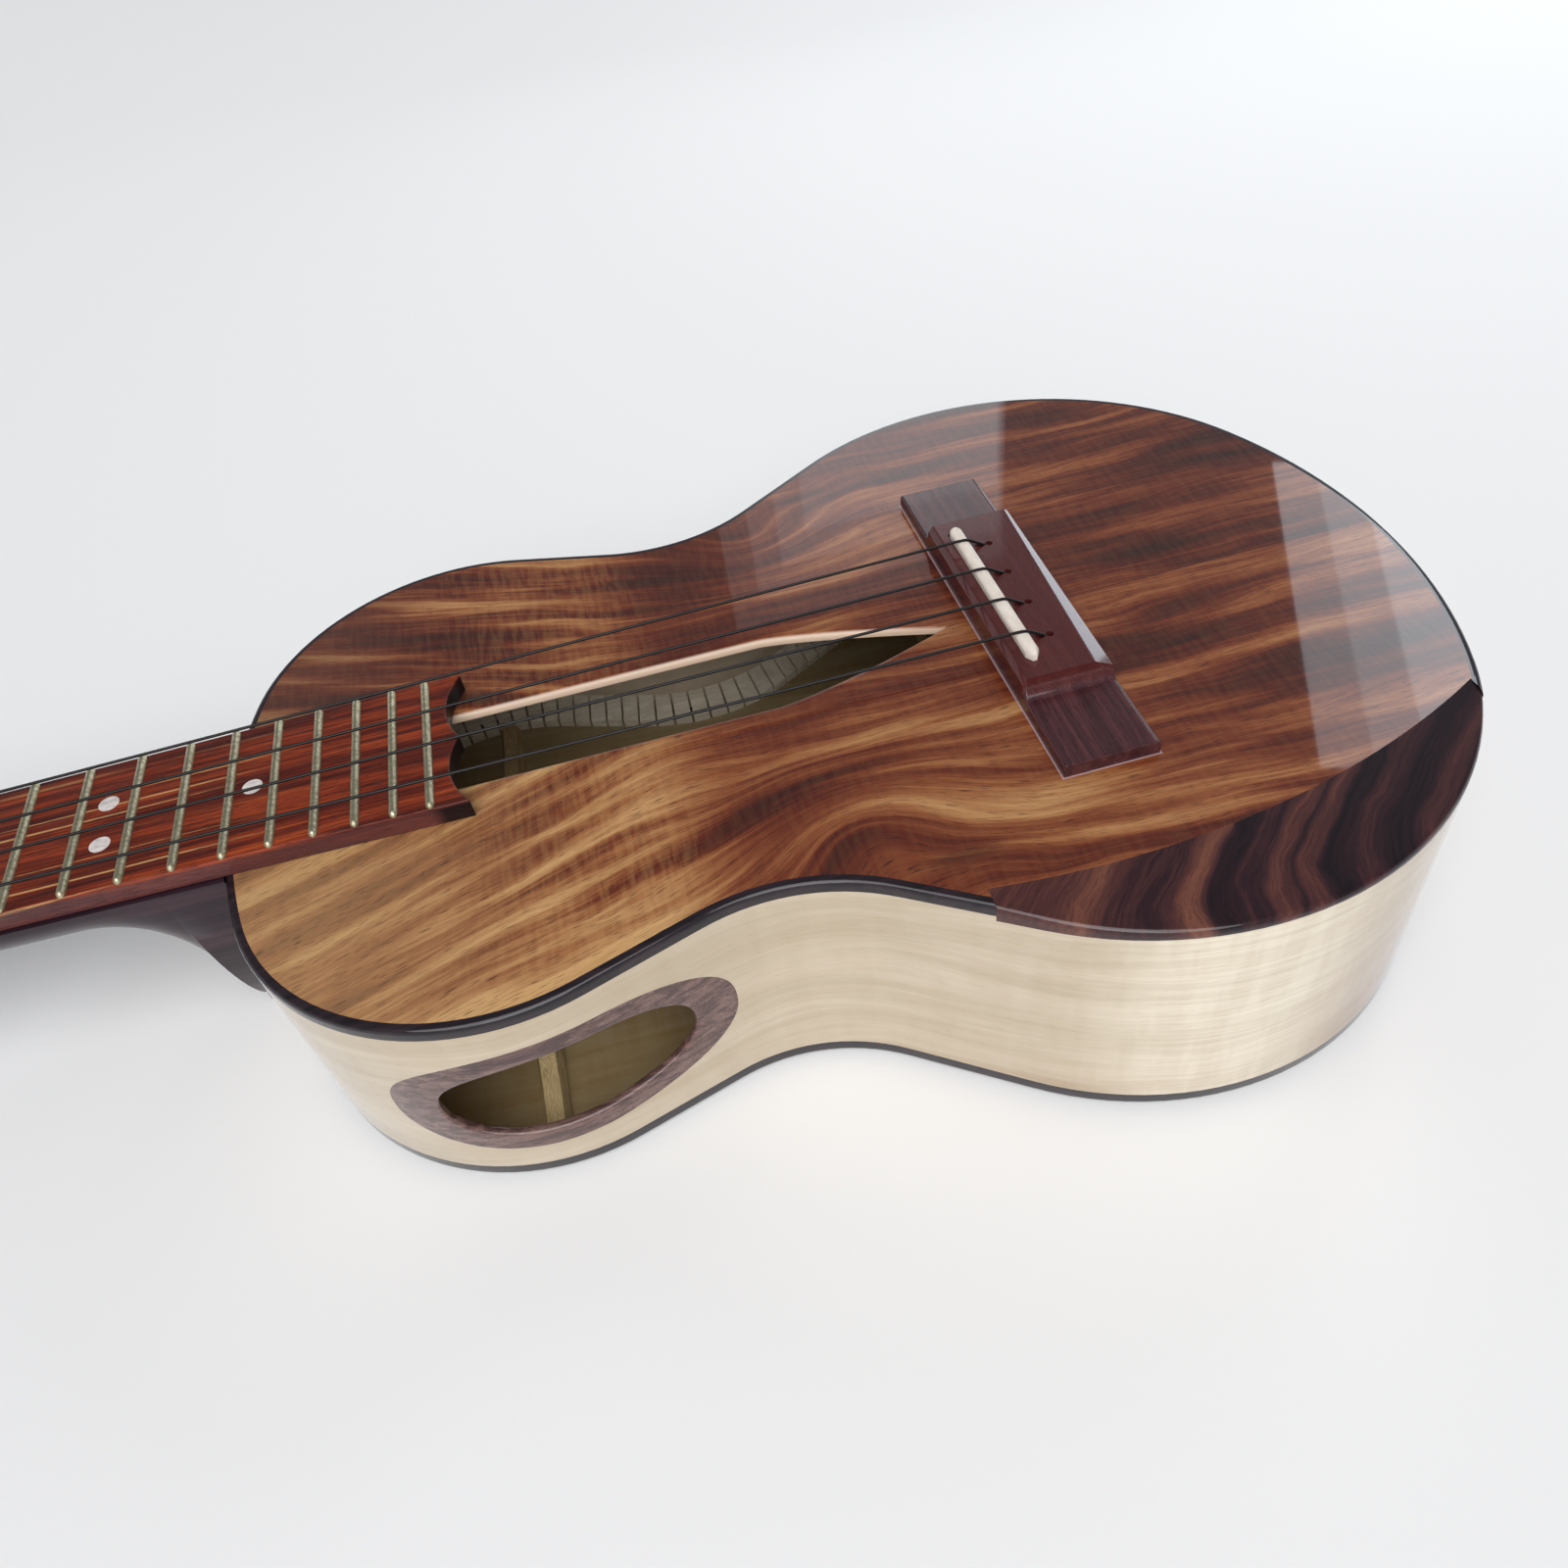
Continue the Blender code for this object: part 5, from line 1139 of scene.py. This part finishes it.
def saddle_line(grow=0.0, far=0.0):
    """The saddle in plan: round at the treble end and cut to a blunt point at the bass end."""
    half = 1.7 + grow
    line = [(half, -26.6), (0.5 + grow, -28.5 - grow), (-0.5 - grow, -28.5 - grow), (-half, -26.6)]
    for i in range(13):
        angle = math.pi - math.pi * i / 12
        line.append((half * math.cos(angle), 26.8 + far + half * math.sin(angle)))
    return line


def saddle():
    rows = []
    profile = ((4.6, 1.0), (9.2, 1.0), (9.7, 0.98), (10.15, 0.88), (10.5, 0.7), (10.72, 0.45), (10.8, 0.15))
    for z, width in profile:
        inset = 1.7 * (1 - width)
        row = []
        for x, y in saddle_line():
            row.append((SADDLE_X + x * width, y - math.copysign(inset * 0.8, y), z))
        rows.append(row)
    return rows_of(rows)


def bridge_paint(tree, x, y, z):
    """The same rosewood with its grain across the instrument, redder on the high middle."""
    colour, fine = rosewood_paint(tree, y, x, z)
    middle = times(tree, rise(tree, calc(tree, "ABSOLUTE", y), 37.0, 34.0), rise(tree, z, 3.6, 4.6))
    return blend(tree, times(tree, middle, 0.6), colour, tint(84, 26, 20)), fine


slot = [[(SADDLE_X + x, y, z) for x, y in saddle_line(0.08, 1.0)] for z in (4.3, 20.0)]
shape = carved(bridge(), rows_of(slot))
for _, lane in LANES:
    hole = Matrix.Translation((HOLE_X, STRING_SPACING * lane, 0.0))
    shape = carved(shape, pin(0.95, -20.0, 20.0, hole, 24))
    lead_in = Matrix.Translation((HOLE_X, STRING_SPACING * lane, 6.6))
    lead_in @= Matrix.Rotation(math.radians(-58), 4, "Y")
    shape = carved(shape, pin(0.8, 0.0, 8.0, lead_in, 24))
bridge_wood = wood("bridge rosewood", bridge_paint, coat=0.8, gloss=0.42, relief=0.08)
bridge_piece = piece("coved_bridge", shape, bridge_wood, ["bridge"], crease=28.0)
bridge_piece.modifiers.new("true flat face", "WEIGHTED_NORMAL").keep_sharp = True

# The saddle. A bar of bone stands in the bridge's slot, its top rounded, and the strings bear on it.
piece("bone_saddle", saddle(), bone, ["saddle"], crease=30.0)

# The strings. Four black nylon strings are knotted under the bridge plate, come up through the bridge,
# pass over saddle and nut, and are wound three times round their posts.


def winding(along, side, leave):
    """Three turns down the post from the string's first touch, then the end tucked into the post."""
    centre = (headstock.inverted() @ tuner_place(along, side)).translation
    away, radius = headstock.inverted() @ leave - centre, 3.0 + STRING_RADIUS
    touch = math.atan2(away.y, away.x) - side * math.acos(radius / math.hypot(away.x, away.y))
    made = []
    for i in range(73):
        angle = touch - side * math.tau * i / 24
        level = Vector((0.0, 0.0, 9.0 - 1.05 * i / 24))
        made.append(headstock @ (centre + level + Vector((math.cos(angle), math.sin(angle), 0.0)) * radius))
    return made + [headstock @ (centre + Vector((0.0, 0.0, 5.8)))]


def string_route(lane, along, side):
    y, nut_y = STRING_SPACING * lane, 9.4 * lane
    path = [(HOLE_X, y, -5.0), (HOLE_X, y, 7.4), (SADDLE_X + 1.0, y, 11.0), (SADDLE_X - 1.0, y, 11.2)]
    path += [(-237.0, nut_y, 8.3), (-238.2, nut_y, 8.2)]
    coil = winding(along, side, Vector((-238.2, nut_y, 8.2)))
    return rounded(path, 1.6) + coil


nylon = bpy.data.materials.new("black nylon")
nylon.use_nodes = True
tree = nylon.node_tree
haze = node(tree, "TexNoise", {"Vector": node(tree, "TexCoord").outputs["Object"], "Scale": 700.0}).outputs[0]
shader = tree.nodes["Principled BSDF"]
tree.links.new(ramp(tree, haze, [(0.3, tint(8, 6, 7)), (0.7, tint(18, 14, 14))]), shader.inputs["Base Color"])
shader.inputs["Roughness"].default_value = 0.3
shader.inputs["Specular IOR Level"].default_value = 0.3

for (name, lane), (_, along, side) in zip(LANES, TUNERS):
    route = [(point, 1.0) for point in string_route(lane, along, side)]
    foot = route[0][0]
    knot = []
    for i in range(12, 0, -1):
        knot.append((foot - Vector((0.0, 0.0, 3.6 * i / 12)), 1.0 + 3.0 * math.sin(math.pi * i / 12) ** 0.6))
    curve = bpy.data.curves.new(name, "CURVE")
    curve.dimensions, curve.bevel_depth = "3D", STRING_RADIUS * 0.001
    curve.bevel_resolution, curve.use_fill_caps = 3, True
    spline = curve.splines.new("POLY")
    spline.points.add(len(knot + route) - 1)
    for target, (place, thickness) in zip(spline.points, knot + route):
        target.co = (*(to_world @ place), 1.0)
        target.radius = thickness
    made = bpy.data.objects.new("nylon_" + name, curve)
    bpy.context.collection.objects.link(made)
    curve.materials.append(nylon)
    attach(made, "instrument")
    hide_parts(name)

# The tuner plates. Each machine head hangs from a stamped nickel plate, screwed under the headstock,
# with two lugs bored for the worm's shaft. A turned bushing lines its post's hole on the face.
WORM_X = 7.2
WORM_Z = -16.93
PLATE_TOP = -12.4
PLATE_BOTTOM = -13.88
WORM_HALF = 3.366
LEAD = math.tau * 5.0 / 14

nickel = metal("nickel plate", tint(206, 205, 200), 0.2, tint(176, 173, 164), 300.0)


def box(x0, x1, y0, y1, z0, z1, place):
    corners = ((x0, y0), (x1, y0), (x1, y1), (x0, y1))
    return rows_of([[place @ Vector((x, y, z)) for x, y in corners] for z in (z0, z1)])


def lathe(profile, place, sides=40):
    """Turned piece from pairs of radius and height along the place's Z."""
    rows = []
    for radius, z in profile:
        ring = [(radius * x, radius * y) for x, y in circle(sides)]
        rows.append([place @ Vector((x, y, z)) for x, y in ring])
    return rows_of(rows)


def tuner_plate(place):
    plate = []
    for z, inset in ((PLATE_BOTTOM, 0.25), (PLATE_BOTTOM + 0.25, 0.0), (PLATE_TOP, 0.0)):
        outline = []
        for cx, cy, start in ((8.3, 4.5, 0.0), (-4.5, 4.5, 90.0), (-4.5, -4.5, 180.0), (8.3, -4.5, 270.0)):
            for i in range(7):
                angle = math.radians(start + 15.0 * i)
                outline.append((cx + (1.5 - inset) * math.cos(angle), cy + (1.5 - inset) * math.sin(angle)))
        plate.append([place @ Vector((x, y, z)) for x, y in outline])
    whole = rows_of(plate)
    for sign in (-1, 1):
        y0, y1 = sorted((sign * (WORM_HALF + 0.2), sign * (WORM_HALF + 1.6)))
        rows = []
        for y in (y0, y1):
            row = [(4.8, -13.5)]
            for i in range(13):
                angle = math.pi + math.pi * i / 12
                row.append((WORM_X + 2.4 * math.cos(angle), WORM_Z + 2.4 * math.sin(angle)))
            rows.append([place @ Vector((x, y, z)) for x, z in row + [(9.6, -13.5)]])
        whole = carved(whole, rows_of(rows), "UNION")
    bore = place @ Matrix.Translation((WORM_X, 0.0, WORM_Z)) @ Matrix.Rotation(math.pi / 2, 4, "X")
    whole = carved(whole, pin(1.4, -9.0, 9.0, bore, 28))
    return carved(whole, pin(3.3, -20.0, -10.0, place))


def screw(place, x, y, turn):
    """Domed head with a sawn slot, its shank run into the wood."""
    spot = place @ Matrix.Translation((x, y, PLATE_BOTTOM)) @ Matrix.Rotation(turn, 4, "Z")
    profile = [(0.7, 3.0), (0.7, 0.0), (1.35, 0.0), (1.35, -0.25), (1.1, -0.55), (0.6, -0.75), (0.1, -0.8)]
    return carved(lathe(profile, spot, 24), box(-0.16, 0.16, -3.0, 3.0, -2.0, -0.45, spot))


for number, along, side in TUNERS:
    place = tuner_place(along, side)
    stamped = tuner_plate(place)
    made = piece(f"stamped_plate_{number}", stamped, nickel, [f"tuner_base_{number}"], crease=30.0)
    made.modifiers.new("true flat face", "WEIGHTED_NORMAL").keep_sharp = True
    screws = joined([screw(place, -4.1, 3.9 * sign, 0.7 * sign + along) for sign in (-1, 1)])
    piece(f"plate_screws_{number}", screws, nickel, crease=30.0)
    rim = [(3.2, 0.2), (3.2, 2.9), (3.35, 3.05), (4.3, 2.85), (4.9, 2.3), (5.0, 1.7), (5.0, 0.2)]
    ring = []
    for i in range(48):
        turned = place @ Matrix.Rotation(math.tau * i / 48, 4, "Z")
        ring.append([turned @ Vector((radius, 0.0, z)) for radius, z in rim])
    piece(f"post_bushing_{number}", rows_of(ring, ring=True), nickel, crease=40.0)

# The string posts. Each nickel post carries a fourteen-tooth wheel at its foot, meshed with the worm, and
# ends in a polished dome above the winding.


def post(side, place):
    """Toothed wheel, whose teeth lean with the worm's thread, then a plain shaft."""
    lean = LEAD / (math.tau * 2.2) / 5.0
    rows = []
    for z in (WORM_Z - 1.2, WORM_Z - 1.05, WORM_Z, WORM_Z + 1.05, WORM_Z + 1.2):
        trim = 0.2 * (abs(z - WORM_Z) > 1.1)
        row = []
        for tooth in range(14):
            middle = math.tau * tooth / 14 + (z - WORM_Z) * lean
            tooth_shape = ((-0.36, 4.28), (-0.27, 4.3), (-0.16, 5.4), (0.0, 5.55), (0.16, 5.4), (0.27, 4.3))
            for share, reach in tooth_shape:
                angle = middle + share * math.tau / 14
                row.append(((reach - trim) * math.cos(angle), (reach - trim) * math.sin(angle), z))
        rows.append(row)
    angles = [math.atan2(y, x) for x, y, _ in rows[-1]]
    shaft = [(3.0, WORM_Z + 1.25), (3.0, 11.2), (2.95, 11.9), (2.7, 12.5)]
    shaft += [(2.2, 12.85), (1.2, 13.0), (0.2, 13.0)]
    for radius, z in shaft:
        rows.append([(radius * math.cos(a), radius * math.sin(a), z) for a in angles])
    return rows_of([[place @ Vector((x, side * y, z)) for x, y, z in row] for row in rows])


for number, along, side in TUNERS:
    name = f"post_{number}"
    shape = post(side, tuner_place(along, side))
    piece("turned_" + name, shape, nickel, ["tuner_" + name], body=name, crease=32.0)

# The tuner buttons. A steel shaft is cut with a worm of three turns between the lugs and carries a flat
# oval button of ivory-coloured plastic, which the player turns.
BUTTON_REACH = 16.0


def worm(side, place):
    rows = []
    for y, radius in ((-6.2, 0.9), (-6.0, 1.2), (-WORM_HALF - 0.02, 1.2)):
        rows.append([(radius * x, y, radius * z) for x, z in circle(36)])
    for step in range(61):
        y = -WORM_HALF + LEAD * step / 20
        row = []
        for i in range(36):
            angle = math.tau * i / 36
            phase = (y / LEAD - (math.pi - angle) / math.tau + 0.5) % 1.0
            crest = max(-1.0, min(1.0, (0.36 - 2 * min(phase, 1 - phase)) * 6.0))
            fade = min(1.0, (WORM_HALF - abs(y)) / (LEAD / 2))
            radius = 2.2 + 0.55 * (-1 + (crest + 1) * max(0.0, fade))
            row.append((radius * math.cos(angle), y, radius * math.sin(angle)))
        rows.append(row)
    stem = ((WORM_HALF + 0.02, 1.2), (13.2, 1.2), (13.25, 1.7), (14.9, 1.7), (BUTTON_REACH, 1.7), (17.5, 1.0))
    for y, radius in stem:
        rows.append([(radius * x, y, radius * z) for x, z in circle(36)])
    return rows_of([[place @ Vector((x, side * y, z)) for x, y, z in row] for row in rows])


def button(side, place):
    """Oval plastic button, waisted where it meets the shaft and thinner towards its rim."""
    rows = []
    for i in range(33):
        t = i / 32
        y = 15.0 + 15.0 * t
        along = min(1.0, max(0.0, (t - 0.02) / 0.98))
        wide = 2.5 + 4.5 * math.sin(math.pi * along) ** 0.75
        wide *= math.sqrt(max(0.001, 1 - max(0.0, (t - 0.72) / 0.28) ** 2.4))
        thick = 2.3 + 0.7 * math.sin(math.pi * t)
        thick *= math.sqrt(max(0.001, 1 - max(0.0, (t - 0.86) / 0.14) ** 2))
        row = []
        for k in range(40):
            c, s = math.cos(math.tau * k / 40), math.sin(math.tau * k / 40)
            row.append((wide * math.copysign(abs(c) ** 0.85, c), y, thick * math.copysign(abs(s) ** 0.85, s)))
        rows.append([place @ Vector((x, side * y, z)) for x, y, z in row])
    return rows_of(rows)


def ivory_paint(tree, x, y, z):
    """Cream plastic with faint cloudy bands."""
    bands = clouds(tree, scaled(tree, x, y, z, 0.2, 0.5, 0.5), 3.0)
    return ramp(tree, bands, [(0.3, tint(214, 202, 174)), (0.7, tint(228, 219, 196))]), bands


ivory = wood("ivory plastic", ivory_paint, coat=0.4, gloss=0.3)
for number, along, side in TUNERS:
    axle = tuner_place(along, side) @ Matrix.Translation((WORM_X, 0.0, WORM_Z))
    name, stands = f"button_{number}", [f"tuner_button_{number}"]
    piece("worm_" + name, worm(side, axle), nickel, stands, body=name, crease=40.0)
    piece("oval_" + name, button(side, axle), ivory, stands, body=name, crease=60.0)

# The room: a plain pale floor, large soft lamps, a pale world and the camera that took the photograph.


def backdrop():
    made = bpy.data.materials.new("pale floor")
    made.use_nodes = True
    shader = made.node_tree.nodes["Principled BSDF"]
    shader.inputs["Base Color"].default_value = tint(238, 238, 238)
    shader.inputs["Roughness"].default_value = 0.8
    return made


shape = bmesh.new()
bmesh.ops.create_grid(shape, x_segments=1, y_segments=1, size=6.0)
floor_mesh = bpy.data.meshes.new("floor")
shape.to_mesh(floor_mesh)
shape.free()
floor = bpy.data.objects.new("floor", floor_mesh)
bpy.context.collection.objects.link(floor)
floor_mesh.materials.append(backdrop())
floor.location.z = cad_low[2] - 0.0005

world = bpy.data.worlds.new("pale room")
bpy.context.scene.world = world
world.use_nodes = True
sky = world.node_tree
direction = node(sky, "TexCoord").outputs["Generated"]
height = node(sky, "SeparateXYZ", {0: direction}).outputs[2]
stops = [(0.08, (0.9, 0.92, 0.95, 1.0)), (0.34, (0.2, 0.205, 0.22, 1.0))]
sky.links.new(ramp(sky, height, stops), sky.nodes["Background"].inputs["Color"])


def lamp(name, centre, across, along, radiance, colour=(1.0, 1.0, 1.0)):
    """Flat oblong lamp, given by its middle and two side vectors in instrument millimetres."""
    light = bpy.data.lights.new(name, "AREA")
    across, along = Vector(across), Vector(along)
    light.shape, light.size, light.size_y = "RECTANGLE", across.length / 1000.0, along.length / 1000.0
    light.energy, light.color = radiance * math.pi * light.size * light.size_y, colour
    made = bpy.data.objects.new(name, light)
    bpy.context.collection.objects.link(made)
    axes = (across.normalized(), along.normalized(), across.cross(along).normalized())
    lie = Matrix.Rotation(-math.atan(TAPER), 4, "Y") @ Matrix(axes).transposed().to_4x4()
    made.matrix_world = Matrix.Translation(to_world @ Vector(centre)) @ lie


sun = bpy.data.lights.new("soft key", "SUN")
sun.energy, sun.angle = 2.55, math.radians(55.0)
key = bpy.data.objects.new("soft key", sun)
bpy.context.collection.objects.link(key)
key.rotation_euler = Vector((-0.2, -0.6, 0.78)).to_track_quat("Z", "Y").to_euler()
for step in range(4):
    left, top = 225.0 + 34.0 * step, 690.0 - 34.0 * step
    middle = ((left + 562.0) / 2, 900.0 + 8.0 * step, (300.0 + top) / 2)
    lamp("window", middle, (0.0, 0.0, top - 300.0), (562.0 - left, 0.0, 0.0), 0.55, (0.95, 0.97, 1.0))
for step, radiance in enumerate((3.0, 1.2, 2.0)):
    width, shift = 260.0 - 60.0 * step, 130.0 + 30.0 * step
    middle = (922.4 + 0.9062 * shift, 822.0 - 0.4228 * shift, 782.0 + 8.0 * step)
    sides = ((0.9062 * width, -0.4228 * width, 0.0), (262.0, 562.0, 0.0))
    lamp("side window", middle, *sides, radiance, (0.86, 0.94, 1.0))
lamp("far window", (1436.0, 1309.0, 167.0), (0.0, 0.0, 170.0), (299.0, -280.0, 0.0), 4.0, (0.8, 0.9, 1.0))
lamp("front", (60.0, -520.0, 330.0), (300.0, 0.0, 0.0), (0.0, 170.0, 250.0), 1.5)

camera_data = bpy.data.cameras.new("photo camera")
camera_data.lens, camera_data.sensor_width = 27.12, 36.0
camera = bpy.data.objects.new("photo camera", camera_data)
bpy.context.collection.objects.link(camera)
across = Vector((0.96394474, -0.23960452, -0.11575926))
upward = Vector((0.25144002, 0.67772385, 0.69099081))
behind = Vector((-0.08711171, -0.69518347, 0.71353451))
turn = Matrix((across, upward, behind)).transposed().to_4x4()
eye = Matrix.Translation(to_world @ Vector((108.466, -229.579, 195.511)))
camera.matrix_world = eye @ Matrix.Rotation(-math.atan(TAPER), 4, "Y") @ turn
bpy.context.scene.camera = camera
bpy.context.scene.view_settings.view_transform = "Standard"
